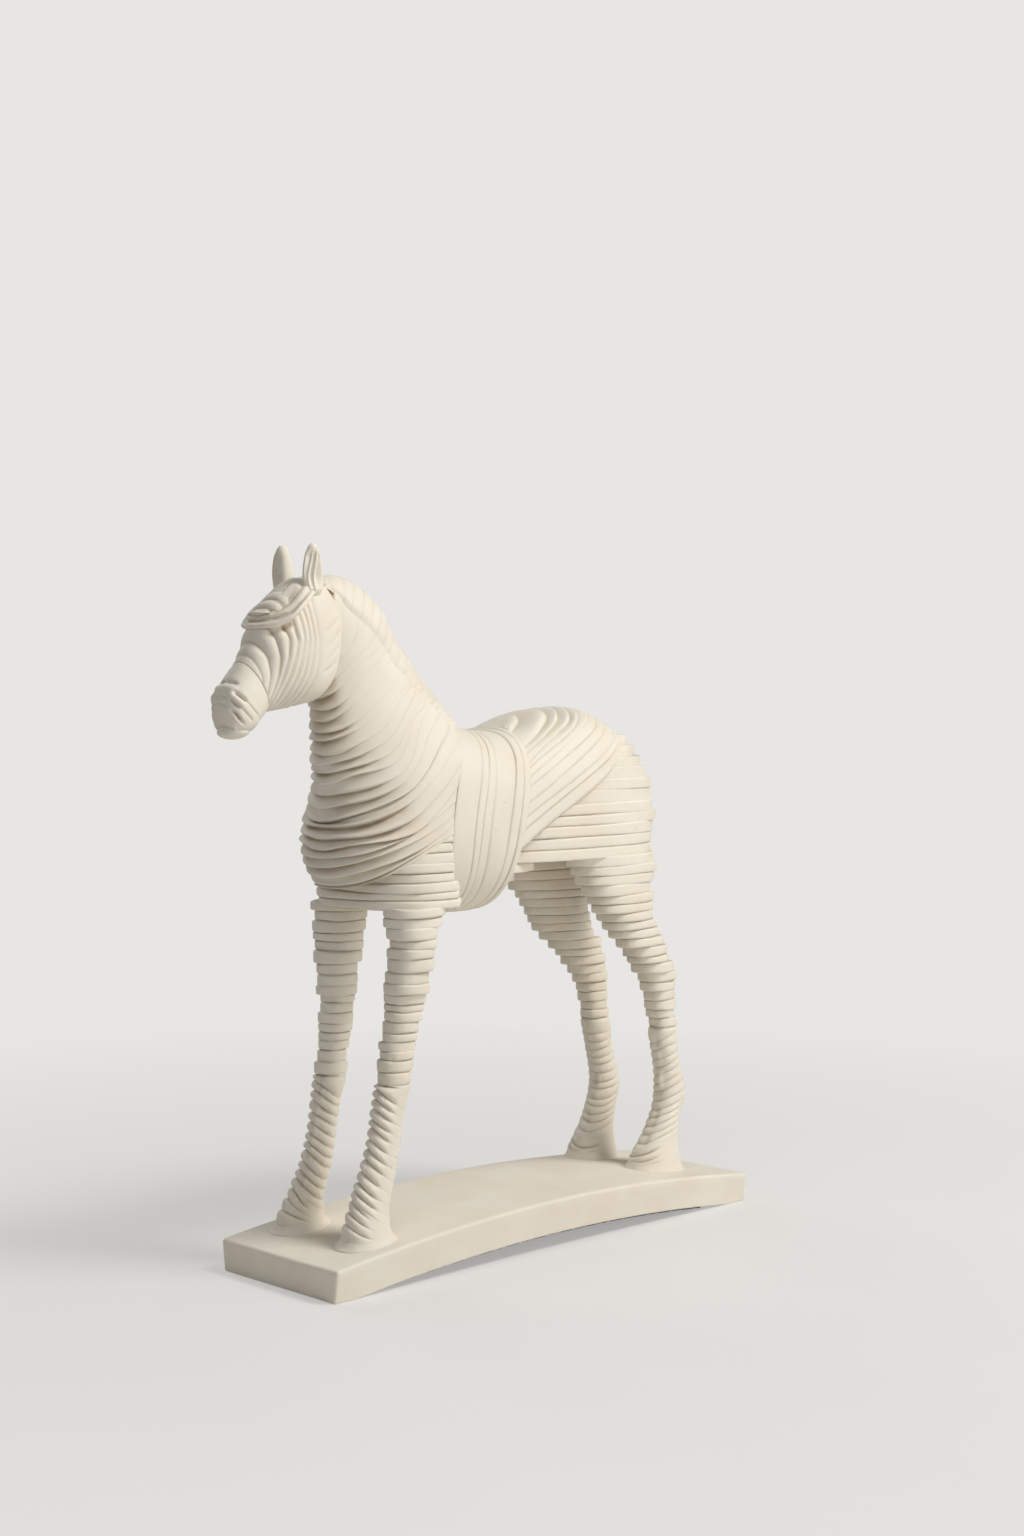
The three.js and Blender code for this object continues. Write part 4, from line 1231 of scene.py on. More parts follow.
# %% Leg sections
fore_leg = [
    [166, -80.6, 24.0, 16.0, 11.6, 0],
    [157, -81.2, 24.2, 13.4, 11.3, -3],
    [150, -81.6, 24.2, 12.2, 10.7, -5],
    [140, -83.2, 23.6, 11.2, 9.7, -6],
    [130, -84.2, 22.8, 10.0, 8.7, -8],
    [120, -84.9, 22.0, 9.0, 7.8, -10],
    [107, -87.2, 21.2, 8.6, 7.0, -10],
    [97, -88.8, 20.8, 8.6, 6.8, -10],
    [87, -90.2, 20.7, 8.5, 6.6, -10],
    [75, -93.4, 20.6, 7.7, 5.9, -12],
    [62, -95.8, 20.5, 7.6, 5.8, -14],
    [47, -99.6, 20.3, 8.6, 6.3, -15],
    [34, -105.0, 21.0, 9.4, 7.2, -12],
    [26, -107.4, 21.8, 11.0, 8.5, -6],
    [17, -107.8, 22.0, 13.4, 10.2, 0],
]
hind_leg = [
    [183, 61.0, 21.3, 33.5, 13.4, 4],
    [172, 63.5, 21.8, 29.0, 13.0, 6],
    [165, 65.5, 22.3, 25.5, 12.4, 8],
    [157, 68.0, 23.0, 21.8, 11.8, 10],
    [150, 71.5, 23.6, 19.0, 11.0, 10],
    [140, 78.5, 23.7, 17.3, 10.2, 10],
    [130, 88.0, 23.6, 14.5, 9.5, 8],
    [122, 94.4, 23.4, 12.5, 8.9, 6],
    [112, 98.0, 23.0, 10.0, 8.0, 5],
    [100, 100.0, 22.8, 8.4, 7.1, 5],
    [90, 102.0, 22.6, 8.0, 6.8, 5],
    [75, 105.0, 22.4, 7.4, 6.4, 3],
    [62, 108.2, 22.2, 8.6, 6.8, 0],
    [55, 108.4, 22.0, 9.0, 7.0, 0],
    [47, 105.6, 21.8, 8.8, 7.0, 0],
    [38, 102.2, 21.6, 10.2, 7.6, -4],
    [30, 99.2, 21.4, 13.0, 9.0, -5],
    [23, 97.6, 21.2, 16.0, 10.6, -5],
    [16, 97.3, 21.2, 17.0, 11.4, -5],
]
fore_joints = [
    166.5, 162, 157.5, 152, 148, 143.5, 137.5, 132.5, 127.5,
    123, 119.5, 115, 110, 106, 102, 98, 92.5, 87,
]
hind_joints = [
    184, 178.5, 174, 169, 163.5, 159, 154.5, 150, 145.5, 141,
    136, 131, 127, 122, 117, 112, 107, 102, 97.5, 93,
]
print("slabs on each upper leg:", len(fore_joints) - 1, "and", len(hind_joints) - 1)

# %% The four legs
fore = dict(kind="fore", stations=fore_leg, joints=fore_joints, knee=87, hoof=31)
hind = dict(kind="hind", stations=hind_leg, joints=hind_joints, knee=94, hoof=33)
legs = [
    SimpleNamespace(name="left_fore", side=-1, aside=-1, seed=71, **fore),
    SimpleNamespace(name="right_fore", side=1, aside=-1, seed=83, **fore),
    SimpleNamespace(name="left_hind", side=-1, aside=-1, seed=97, **hind),
    SimpleNamespace(name="right_hind", side=1, aside=1, seed=109, **hind),
]


def leg_ring(leg, height, angle, square, grow=0.0):
    """Centres and ring offsets of a leg's sections at given heights."""
    row = table_at(leg.stations, place_of(leg.stations, height))
    x, y, long_half, wide_half, turn = np.moveaxis(row[..., 1:], -1, 0)
    turn = -leg.side * np.radians(turn)
    return oval(x, long_half + grow, wide_half + grow, square, angle, turn, leg.side * y)


print("legs:", ", ".join(leg.name for leg in legs))

# %% Upper legs
upper_square = 2.3
upper_columns = 130
upper_stretch = {"fore": 1.2, "hind": 1.8}
upper_grow = {"fore": -0.4, "hind": -0.5}
upper_hold = {"fore": 0.5, "hind": 0.3}
upper_stand = {"fore": 1.15, "hind": 1.4}

for leg in legs:
    angles = even_angles(upper_columns, upper_square, upper_stretch[leg.kind])
    outline = partial(leg_ring, leg, square=upper_square, grow=upper_grow[leg.kind])
    grid, fields = slab_pile(leg.joints, outline, leg.seed, angles, flank_hold=upper_hold[leg.kind])
    mesh = with_relief(loft(leg.name, grid, fields), **slab_sizes, stand=upper_stand[leg.kind],
                       stand_turns=0.4, seed=leg.seed)
    hand_over(mesh, leg.name + "_upper_leg")

# %% [markdown]
# Below the knees the clay strips are wound round the leg at a slant. A single ribbon on a spiral would need
# a core under it. Instead each row of the mesh lies in a plane that drops to the rear and the outside, so
# the same relief gives a twist of rounded strips on one closed skin.

# %% Wound grid helper
wind_fractions = (0, 0.04, 0.09, 0.16, 0.25, 0.36, 0.48, 0.60, 0.72, 0.82, 0.90, 0.96)
wound_square = 2.1
wound_columns = 110
wound_wander = 0.45
drop_rearward = 0.8
drop_aside = 0.6
seam_angle = 3.3
seam_width = 0.16


def wound_grid(leg, edges, seed, slants):
    """Slanted rings round a leg, with the lap fields of its strips. They drop to the rear and a side."""
    angles = around(wound_columns)
    laps = lap_rows(len(edges) - 1, wind_fractions)
    heights = lap_places(edges, laps, edge_wander(seed, len(edges), angles, wound_wander, waves=3))
    slant = np.interp(laps, np.arange(len(edges)), slants)[:, None]
    turned = np.broadcast_to(angles, heights.shape)
    centre, ring = leg_ring(leg, heights, turned, wound_square)
    drop = slant * (ring[..., 0] * drop_rearward + leg.aside * ring[..., 1] * drop_aside)
    centre, ring = leg_ring(leg, heights - drop, turned, wound_square)
    grid = np.concatenate([centre + ring, (heights - drop)[..., None]], -1)
    marks = edge_marks(seed + 1, laps, angles, low=0.5, high=1.0) + 0 * heights
    return grid, lap_fields(grid, laps, ease=np.ones_like(heights), mark=marks), turned


def rearward(angle):
    """0 at the front of a leg and 1 at its rear."""
    return (1 + np.cos(angle)) / 2


def seam_bumps(seed, grid, turned, height):
    """Ridges in mm, as negative depths, along the mould's seam down the front of a leg."""
    levels = np.arange(0, 200, 2.0)
    bumps = ripples(seed, 1, np.arange(0, 25, 0.25), waves=14)[0]
    along_seam = np.clip(np.interp(grid[..., 2], levels, bumps), -0.6, 1.2)
    return -height * np.exp(-((turned - seam_angle) / seam_width) ** 2) * along_seam


print("rows on each wound strip:", len(wind_fractions))

# %% Wound lower legs
wound_turns = {"fore": 12, "hind": 14}
wound_slant = {"fore": 0.66, "hind": -0.4}
seam_height = {"fore": 0.9, "hind": 1.3}
rear_fade = {"left_fore": 0.85, "right_fore": 0.5, "left_hind": 0.5, "right_hind": 0.5}
knee_step = 1.6
# The wound strips get a little stain and painted shade under each one.
wound_relief = {
    "fore": dict(crest=1.8, groove=0.5, wave=0.3, wash=0.15, soften=0.5),
    "hind": dict(crest=0.9, groove=0.08, wave=0.5, wash=0.08, soften=1.0),
}

for leg in legs:
    random = np.random.RandomState(leg.seed)
    thin_start = [0.5, 1.5]
    steps = np.cumsum(np.concatenate([thin_start, random.uniform(0.8, 1.2, wound_turns[leg.kind] - 1)]))
    first = leg.knee + 1.5
    edges = first - (first - leg.hoof) * np.concatenate([[0], steps]) / steps[-1]
    slants = wound_slant[leg.kind] * np.interp(np.arange(len(edges)), [0, 1, 2], [0, 0.25, 1])
    grid, fields, turned = wound_grid(leg, edges, leg.seed + 5, slants)
    last_joint = leg.joints[-1]
    below_knee = knee_step * smooth_step(last_joint - 1.5, last_joint + 0.5, grid[..., 2])
    grid = grid - fields["push"] * LEVEL * below_knee[..., None]
    rear = rearward(turned + np.pi / 4)
    smooth_rear = 1 - rear_fade[leg.name] * smooth_step(0.62, 0.95, rear)
    fields["ease"] = fields["ease"] * smooth_rear
    fields["mark"] = fields["mark"] * smooth_rear
    pits = dents(leg.seed + 7, grid, count=14, low_size=0.4, high_size=0.8, depth=0.9)
    fields["carve"] = seam_bumps(leg.seed + 6, grid, turned, seam_height[leg.kind]) + pits
    mesh = with_relief(loft(leg.name, grid, fields), lip=0.6, slope=2.6, groove_width=0.45, drag=0.1,
                       seed=leg.seed, **wound_relief[leg.kind])
    hand_over(mesh, leg.name + "_lower_leg")

# %% [markdown]
# The hooves are flared feet of nested curved strips. The strips are bold in front and die out towards the
# rear, and a soft fillet runs out on the plinth, as the casting's mould left it. A Boolean union with the
# plinth would give that joint a hard line, so the foot itself widens where it meets the plinth's top.

# %% Hooves
hoof_slants = [0.85, 0.75, 0.6, 0.4, 0.12, 0.0]
hoof_lean = {"fore": 1, "hind": -0.6}
fillet_width = {"fore": 2.2, "hind": 1.3}
fillet_height = 1.6

for leg in legs:
    low = drawn_stand - 1.2
    top = leg.hoof
    edges = np.array([top + 2.5, top - 1.5, top - 5.0, top - 8.5, low + 2.0, low - 1.0])
    slants = np.array(hoof_slants) * hoof_lean[leg.kind]
    grid, fields, turned = wound_grid(leg, edges, leg.seed + 9, slants)
    plinth_x = horse_to_plinth(grid)[..., 0]
    floor_height = drawn_stand + (plinth_top(plinth_x) - plinth_top(fore_hoof_x))
    over_floor = grid[..., 2] - floor_height
    fillet = fillet_width[leg.kind] * np.exp(-np.maximum(over_floor, 0) / fillet_height)
    grid = grid + fields["push"] * LEVEL * fillet[..., None]
    front = 1 - smooth_step(0.45, 0.8, rearward(turned + np.pi / 4))
    foot = smooth_step(2.2, 4.5, over_floor)
    fields["ease"] = (0.15 + front) * foot
    fields["mark"] = fields["mark"] * front * foot
    mesh = with_relief(loft(leg.name, grid, fields), crest=1.0, lip=0.3, slope=1.8, groove=0.7,
                       groove_width=0.45, drag=0.06, wave=0.2, seed=leg.seed)
    hand_over(mesh, leg.name + "_hoof")

# %% [markdown]
# The mane is one thick band along the crest, crossed by short rolls. It grows out of the neck from ear to
# withers and widens on its way. Hair strands would look wrong on a clay mane, so it is a loft on the neck's
# own sections: its sides show only faint lines, and the rolls scallop its top edge.

# %% Mane bed
mane_rolls = 22
mane_widest = 14.5
least_half = 10.5
mane_bed = [[-124, 297, -128.5, 312.0, 9.0, 0, 2.0], *neck_lines[:neck_end + 1]]
random = np.random.RandomState(131)
mane_steps = np.cumsum(random.uniform(0.75, 1.25, mane_rolls))
mane_edges = np.concatenate([[0], mane_steps / mane_steps[-1] * (len(mane_bed) - 1)])
angles = around(96)
mane_laps = lap_rows(mane_rolls, wind_fractions)
mane_wander = edge_wander(137, mane_rolls + 1, angles, size=0.05, waves=3)
place = lap_places(mane_edges, mane_laps, mane_wander)
turned = np.broadcast_to(angles, place.shape)
across = np.cos(turned)
started = smooth_step(0.0, 2.0, place)
half_width = np.maximum(table_at(mane_bed, place)[..., 4], least_half)
skirt = (mane_widest + 0.4 * place) / half_width * (0.5 + 0.5 * started)
bed = trunk_points(mane_bed, place, np.pi - skirt * across)
centre = trunk_points(mane_bed, place, 0 * place + np.pi / 2)
centre[..., 1] = 0
outward = unit(bed - centre)
inner = 1 - np.abs(across)
outer = -0.7 + 2.0 * smooth_step(0.0, 0.22, inner) + 3.2 * smooth_step(0.3, 1.0, inner)
thick = np.where(np.sin(turned) >= 0, outer * (0.15 + 0.85 * started), -2.5 * np.sqrt(1 - across**2))
mane_grid = bed + outward * thick[..., None]
print("mane rolls:", mane_rolls)

# %% Mane
mane_top = smooth_step(0.2, 0.9, np.sin(turned))
mane_ease = (0.2 + 0.8 * mane_top) * started
mane_mark = edge_marks(139, mane_laps, angles, low=0.1, high=0.4) + 0 * place
mane_mesh = loft("mane", mane_grid, lap_fields(mane_grid, mane_laps, ease=mane_ease, mark=mane_mark))
mane_relief = dict(crest=0.8, lip=0.6, slope=3.0, groove=0.5, groove_width=0.5)
hand_over(with_relief(mane_mesh, **mane_relief, seed=9), "mane")

# %% [markdown]
# The head is the same kind of loft from ear to muzzle, with near upright strips on the cheeks that curve
# over each other. Their edges cross the loft's own rings, so the rows can't follow them. Instead the grid
# is dense and plain, and each of its points looks up which strip it lies on.

# %% Head sections
head_lines = [
    [-124, 315, -106, 284, 10.5, 2.1],
    [-134, 312, -113, 268, 13.8, 2.2],
    [-143, 306, -121, 260.5, 15.0, 2.3],
    [-150.5, 299.5, -129.5, 258, 14.6, 2.3],
    [-155, 292, -137, 256.4, 13.0, 2.2],
    [-158.3, 284, -144, 255.3, 10.8, 2.1],
    [-163.5, 276, -150.2, 254.3, 9.4, 2.1],
]
muzzle_lines = [
    [-163.8, 275.6, -150.6, 253.7, 9.4, 2.1],
    [-168.8, 269.6, -154.8, 249.8, 10.0, 2.2],
    [-173.0, 263.5, -158.2, 246.6, 10.2, 2.3],
    [-174.5, 256.5, -163.2, 244.2, 8.9, 2.2],
    [-173.6, 250.6, -168.4, 244.4, 6.4, 2.0],
]


def as_trunk(rows):
    """Head sections in the order of the trunk's: low point, high point, half width, bow, squareness."""
    return [[lx, lz, tx, tz, half, 0, square] for tx, tz, lx, lz, half, square in rows]


print("head sections:", len(head_lines), "and muzzle sections:", len(muzzle_lines))


# %% Head helpers
def carve_depth(grid, curves):
    """Depth in mm of grooves, or height of ridges where negative, along curves given on the left side."""
    points = grid * np.array([1.0, -1.0, 1.0])
    points[..., 1] = np.abs(points[..., 1])
    total = np.zeros(grid.shape[:2])
    for depth, wide, route in curves:
        route = np.asarray(route, float)
        lengths = np.linalg.norm(np.diff(route, axis=0), axis=1)
        passed = np.concatenate([[0], np.cumsum(lengths)])
        best = np.full(grid.shape[:2], 1e9)
        place = np.zeros(grid.shape[:2])
        for k, (a, b) in enumerate(zip(route, route[1:])):
            t = np.clip(((points - a) @ (b - a)) / lengths[k] ** 2, 0, 1)
            apart = np.linalg.norm(points - a - t[..., None] * (b - a), axis=-1)
            nearer = apart < best
            best = np.where(nearer, apart, best)
            place = np.where(nearer, (passed[k] + t * lengths[k]) / passed[-1], place)
        taper = np.minimum(1, 4 * np.minimum(place, 1 - place)) ** 0.6
        total += depth * (0.15 + 0.85 * taper) * np.exp(-(best / wide) ** 2)
    return total


def curve_laps(position, edges):
    """Lap values where each edge is given at every point, and the width of the strip there."""
    laps = np.zeros(position.shape)
    widths = np.full(position.shape, 9.0)
    for k in range(len(edges) - 1):
        inside = (position >= edges[k]) & (position < edges[k + 1])
        gap = np.maximum(edges[k + 1] - edges[k], 0.3)
        laps = np.where(inside, k + (position - edges[k]) / gap, laps)
        widths = np.where(inside, gap, widths)
    past = np.clip((position - edges[-1]) / 8, 0, 0.5)
    laps = np.where(position >= edges[-1], len(edges) - 1 + past, laps)
    return laps, widths


def head_grid(rows, row_count, columns):
    """A dense grid on the head's sections."""
    places = np.linspace(0, len(rows) - 1, row_count)[:, None] + 0 * around(columns)[None, :]
    return trunk_points(as_trunk(rows), places, np.broadcast_to(around(columns), places.shape))


print("lap of a point 2.5 along edges 0, 1 and 3:", curve_laps(np.array([2.5]), [0, 1, 3])[0])

# %% Cheek grooves
# Grooves of the cheek from front to rear, as x at each of the heights
cheek_heights = [254, 262, 270, 278, 286, 294, 302]
cheek_grooves = [
    [-158, -157.5, -158.5, -161.5, -166, -170, -173],
    [-156.5, -155, -154, -155, -158.5, -162.5, -166],
    [-154.5, -152, -150.3, -149.8, -151.5, -155, -158],
    [-152.5, -150, -148, -146.3, -146, -149, -152],
    [-150, -147.3, -145, -143, -141.8, -143.5, -146],
    [-147, -144, -141.5, -139.8, -138.5, -139.5, -141],
    [-144, -141, -138.3, -136.8, -135.8, -136.5, -138],
    [-140.5, -138, -135, -133.5, -132.8, -133.8, -135],
    [-137, -134, -131, -130, -129.8, -131, -132],
]
cheek_carving = [
    (1.2, 1.3, [(-154.5, 8.0, 288.0), (-151.5, 10.0, 289.0), (-149.0, 11.4, 290.2)]),
    (2.4, 1.5, [(-149.5, 11.2, 290.0), (-146.8, 12.4, 291.4), (-144.2, 13.4, 293.4)]),
    (0.8, 0.8, [(-144.0, 13.4, 291.0), (-142.6, 13.8, 288.0), (-141.8, 14.0, 284.5)]),
    (1.4, 0.45, [(-138.2, 14.4, 298.0), (-137.2, 14.4, 296.0), (-136.4, 14.4, 294.2)]),
    (0.8, 0.6, [(-128.0, 14.2, 296.0), (-121.0, 12.8, 299.5), (-115.0, 11.0, 303.5)]),
    (0.8, 0.6, [(-128.5, 14.2, 289.0), (-121.0, 13.0, 292.5), (-114.0, 11.2, 297.0)]),
    (0.9, 0.6, [(-128.5, 14.2, 282.5), (-121.0, 13.0, 286.0), (-114.0, 11.2, 291.0)]),
    (0.8, 0.6, [(-128.0, 14.2, 276.5), (-121.0, 13.0, 280.0), (-115.0, 11.2, 284.5)]),
    (0.9, 0.6, [(-127.0, 13.8, 271.5), (-121.0, 12.6, 274.5), (-116.0, 11.0, 278.5)]),
]
print("cheek grooves:", len(cheek_grooves), "and single marks:", len(cheek_carving))

# %% Face wrap
grid = head_grid(head_lines, row_count=190, columns=260)
edges = [np.interp(grid[..., 2], cheek_heights, row) for row in cheek_grooves]
laps, widths = curve_laps(grid[..., 0], edges)
strip_tops = smooth_step(270, 286, grid[..., 2]) * smooth_step(-140, -150, grid[..., 0])
behind_nose = smooth_step(-0.02, 0.12, laps)
face_own = {
    "lap": laps,
    "width": widths,
    "ease": (0.55 + 0.75 * strip_tops) * behind_nose,
    "mark": 0.62 * np.where(laps > 0, 1, behind_nose),
    "carve": carve_depth(grid, cheek_carving),
}
face_mesh = loft("face", grid, plain_fields(grid, **face_own))
face_relief = dict(lip=0.5, rise=2.0, slope=2.0, groove=0.45, groove_width=0.42, drag=0.1)
hand_over(with_relief(face_mesh, **face_relief, crest=1.0, seed=11), "face_wrap")

# %% Muzzle
muzzle_carving = [
    (1.1, 0.9, [(-170.6, 0.0, 267.4), (-170.2, 3.6, 267.3), (-169.2, 6.2, 266.3)]),
    (-0.7, 1.6, [(-172.2, 0.0, 264.4), (-171.6, 4.0, 264.6), (-170.0, 7.0, 263.8)]),
    (2.0, 0.75, [(-171.5, 6.4, 263.2), (-170.3, 8.2, 261.9), (-168.8, 9.5, 260.4), (-167.2, 10.2, 258.8)]),
    (0.6, 0.5, [(-167.2, 10.2, 258.8), (-164.4, 10.4, 256.2), (-161.8, 9.8, 254.0), (-158.0, 7.5, 251.4)]),
    (1.8, 0.65, [(-173.2, 5.6, 260.3), (-172.5, 7.2, 258.2), (-171.3, 8.6, 257.0), (-170.2, 9.2, 256.7)]),
    (0.8, 0.5, [(-170.2, 9.2, 256.7), (-167.6, 9.9, 254.2), (-164.6, 9.5, 251.6), (-163.0, 8.0, 249.4)]),
    (-0.9, 1.3, [(-172.6, 4.6, 262.0), (-171.6, 7.0, 260.4), (-170.2, 8.8, 258.8), (-168.2, 9.8, 256.6)]),
    (2.3, 0.65, [(-173.3, 6.4, 255.0), (-171.9, 8.1, 253.6), (-170.0, 8.7, 251.4), (-166.6, 7.8, 248.8)]),
    (2.3, 0.6, [(-172.0, 5.6, 251.8), (-170.9, 6.2, 250.4), (-169.6, 6.2, 249.0), (-167.4, 5.8, 247.8)]),
    (1.0, 0.6, [(-175.0, 0.0, 258.3), (-174.7, 2.6, 257.9), (-174.0, 5.3, 256.6)]),
    (0.7, 0.8, [(-174.2, 0.0, 261.6), (-174.0, 2.6, 261.2), (-173.4, 4.9, 260.5)]),
]
grid = head_grid(muzzle_lines, row_count=130, columns=200)
muzzle_mesh = loft("muzzle", grid, plain_fields(grid, carve=carve_depth(grid, muzzle_carving)))
hand_over(with_relief(muzzle_mesh, crest=0.1, drag=0.08, wave=0.25, soften=0.2, seed=12), "muzzle")

# %% [markdown]
# The cap over the brow is a stack of broad folds. They sweep from the ears down to the front, where the
# lowest one stands out like the peak of a cap. A cloth simulation would give softer folds in places of its
# own. Here an egg-shaped block is pressed to the brow's height. Its two lowest folds lie between edges that
# are given as heights along the side view, and single carved lines fan out over the top. The lower lip is
# a small block of the same kind.

# %% Egg helper
def egg_grid(middle, size, pitch, rows, columns):
    """Rings of an ellipsoid, in the side view's tilt."""
    polar = np.linspace(0.03, np.pi - 0.03, rows)[:, None]
    angle = around(columns)[None, :]
    x = -size[0] * np.cos(polar) + 0 * angle
    y = size[1] * np.sin(polar) * np.cos(angle)
    z = size[2] * np.sin(polar) * np.sin(angle)
    c, s = math.cos(math.radians(pitch)), math.sin(math.radians(pitch))
    return np.stack([middle[0] + x * c - z * s, y, middle[1] + x * s + z * c], -1)


small_egg = egg_grid((0, 0), (2, 1, 1), pitch=0, rows=9, columns=8)
print("rear end of a small egg:", [round(float(v), 2) for v in small_egg[-1].mean(0)])

# %% Brow folds
# Lower edge and grooves of the brow folds, as heights at each x
brow_places = [-160, -155, -150, -145, -140, -135, -130, -125, -118]
brow_edges = [
    [291.4, 290.4, 291.2, 294.4, 299.0, 303.2, 306.8, 309.5, 311.5],
    [293.9, 293.3, 294.8, 297.8, 302.0, 305.8, 308.8, 311.5, 313.5],
    [295.6, 296.0, 298.4, 301.4, 305.2, 309.1, 312.0, 314.8, 317.0],
]
brow_carving = [
    (1.0, 1.0, [(-151.6, 5.4, 297.6), (-149.5, 5.6, 299.0), (-147.0, 5.0, 301.0)]),
    (-0.8, 0.8, [(-152.6, 6.8, 296.6), (-151.4, 7.6, 296.8)]),
    (0.9, 0.9, [(-124.0, 6.5, 311.8), (-132.0, 7.4, 309.8), (-139.0, 7.8, 306.0), (-146.0, 7.0, 301.4)]),
    (0.8, 0.9, [(-124.0, 2.6, 312.6), (-134.0, 3.2, 311.4), (-141.0, 3.4, 307.4), (-147.0, 2.8, 302.6)]),
    (-0.7, 1.4, [(-130.0, 7.4, 310.4), (-136.0, 8.8, 307.6), (-141.0, 9.6, 303.6)]),
    (-0.6, 1.2, [(-131.0, 2.8, 312.0), (-139.0, 4.4, 308.2), (-145.0, 4.6, 303.4)]),
]
print("brow edges:", len(brow_edges), "and single lines:", len(brow_carving))

# %% Brow block
brow_x = -134.5
brow_middle = 297.5
brow_size = (21.5, 15.8, 15)
brow_pitch = 20
brow_narrow = 0.12
brow_top_places = [-156.5, -153.4, -150.5, -147.2, -143.1, -139.6, -136.7, -132, -127, -118]
brow_top = [297.6, 298.4, 300.0, 302.3, 305.8, 308.6, 310.8, 312.5, 312.8, 313]
grid = egg_grid((brow_x, brow_middle), brow_size, brow_pitch, rows=210, columns=250)
crown = brow_size[2] * np.sqrt(np.maximum(1 - ((grid[..., 0] - brow_x) / brow_size[0]) ** 2, 0.01))
wanted = np.interp(grid[..., 0], brow_top_places, brow_top) - brow_middle
pressed = np.clip(wanted / crown, 0.05, 1)
over = np.maximum(grid[..., 2] - brow_middle, 0)
grid[..., 2] -= over * (1 - pressed)
grid[..., 1] *= 1 - brow_narrow * smooth_step(-141, -126, grid[..., 0])
edges = [np.interp(grid[..., 0], brow_places, row) for row in brow_edges]
steepness = np.cos(np.arctan(np.gradient(np.array(brow_edges[0]), brow_places)))
under = np.maximum(edges[0] - grid[..., 2], 0)
laps, widths = curve_laps(grid[..., 2], edges)
peak = smooth_step(-132, -146, grid[..., 0])
brow_normals = grid_normals(grid)
print("brow points:", grid.shape[0] * grid.shape[1])

# %% Brow wrap
peak_roll = 1.6
peak_hollow = 1.0
under_tuck = 1.5

roll = np.sqrt(np.clip(1 - (2 * np.minimum(laps, 1) - 1) ** 2, 0, 1)) * (laps < 1) * (under <= 0)
hollow = np.sin(np.pi * np.clip(laps - 1, 0, 1))
grid[..., 2] += under * 0.97
grid += level_inward(grid, brow_x) * (smooth_step(0, 1.5, under) * under_tuck)[..., None]
shaped = carve_depth(grid, brow_carving) - peak_roll * roll * peak + peak_hollow * hollow * peak
brow_own = {
    "lap": laps,
    "push": brow_normals,
    "width": widths * np.interp(grid[..., 0], brow_places, steepness),
    "ease": (0.45 + 0.75 * peak) * (under <= 0),
    "mark": 0.8 * (under <= 0) * (laps > 0.5),
    "carve": shaped,
}
brow_relief = dict(lip=0.55, rise=2.0, slope=1.8, groove=0.35, groove_width=0.5, drag=0.08)
brow_mesh = loft("brow", grid, plain_fields(grid, **brow_own))
hand_over(with_relief(brow_mesh, **brow_relief, crest=1.6, wave=0.5, soften=1.0, seed=13), "brow_wrap")

# %% Lower lip
lip_grid = egg_grid((-166.3, 246.1), size=(6.9, 7.4, 3.5), pitch=6, rows=81, columns=90)
lip_mesh = loft("lip", lip_grid, plain_fields(lip_grid))
hand_over(with_relief(lip_mesh, crest=0.1, wave=0.15, drag=0.05, seed=14), "lower_lip")

# %% [markdown]
# Each ear is a leaf that is cupped to the front. A flat leaf with a Solidify modifier would have an even
# edge, so the ear is a closed loft with a hollow pressed into it instead. The near ear, which turns its
# hollow to the camera, has two raised veins in it. The far ear only shows a smooth hollow at its side.

# %% Ear sections
ear_lines = [
    [0, 4.2, 3.6],
    [0.25, 4.7, 3.4],
    [0.55, 4.7, 2.8],
    [0.82, 3.6, 2.1],
    [0.95, 2.2, 1.5],
    [1, 1.0, 0.8],
]
ear_x = -130.0
ear_side = 9.4
ear_foot = 304.0
ear_tip = 328.15
ears = [
    SimpleNamespace(node="left_ear", side=-1, turn=74, hollow=3.1, hollow_half=0.95, veins=1.0),
    SimpleNamespace(node="right_ear", side=1, turn=60, hollow=2.2, hollow_half=0.55, veins=0.0),
]
first_vein = (0.35, 0.16)
second_vein = (-0.2, 0.14)
print("ear height:", round(ear_tip - ear_foot, 2))

# %% Ears
share = np.linspace(0, 1, 110)[:, None]
angle = around(130)[None, :]
row = table_at(ear_lines, np.interp(share, [r[0] for r in ear_lines], range(len(ear_lines))))
wide = row[..., 1]
thick = row[..., 2]
sway = 0.25 * np.sin(5 * share)
foot_tuck = 2.6 * smooth_step(0.2, 0.0, share)

for ear in ears:
    turn = math.radians(ear.turn)
    u = thick * np.cos(angle)
    v = wide * np.sin(angle)
    inside = np.exp(-(np.abs(angle - ear.hollow) / ear.hollow_half) ** 2)
    cup = inside * smooth_step(0.05, 0.45, share) * smooth_step(0.95, 0.75, share)
    vein = 0
    for place, half in (first_vein, second_vein):
        vein = vein + ear.veins * np.exp(-((v / wide - place - sway) / half) ** 2)
    u = u + cup * thick * (0.95 - 0.4 * vein * smooth_step(1.0, 0.7, share))
    x = ear_x + 1.0 * (1 - share) + u * math.cos(turn) - v * math.sin(turn)
    y = ear.side * (ear_side + 0.8 * share - foot_tuck) + u * math.sin(turn) + v * math.cos(turn)
    z = ear_foot + (ear_tip - ear_foot) * share + 0 * u
    ear_grid = np.stack([x, y, z], -1)
    ear_mesh = loft(ear.node, ear_grid, plain_fields(ear_grid, carve=0.25 * cup * (1 - vein)))
    hand_over(with_relief(ear_mesh, crest=0.1, wave=0.2, drag=0.04, seed=15), ear.node)

# %% [markdown]
# The plinth is a thick arched slab with drafted sides and soft edges, slightly uneven on top, as cast. A
# box with a Bevel modifier would be quicker, but its top couldn't follow the arch. So upright sections with
# rounded corners are lofted along its length, closer together at the two ends.

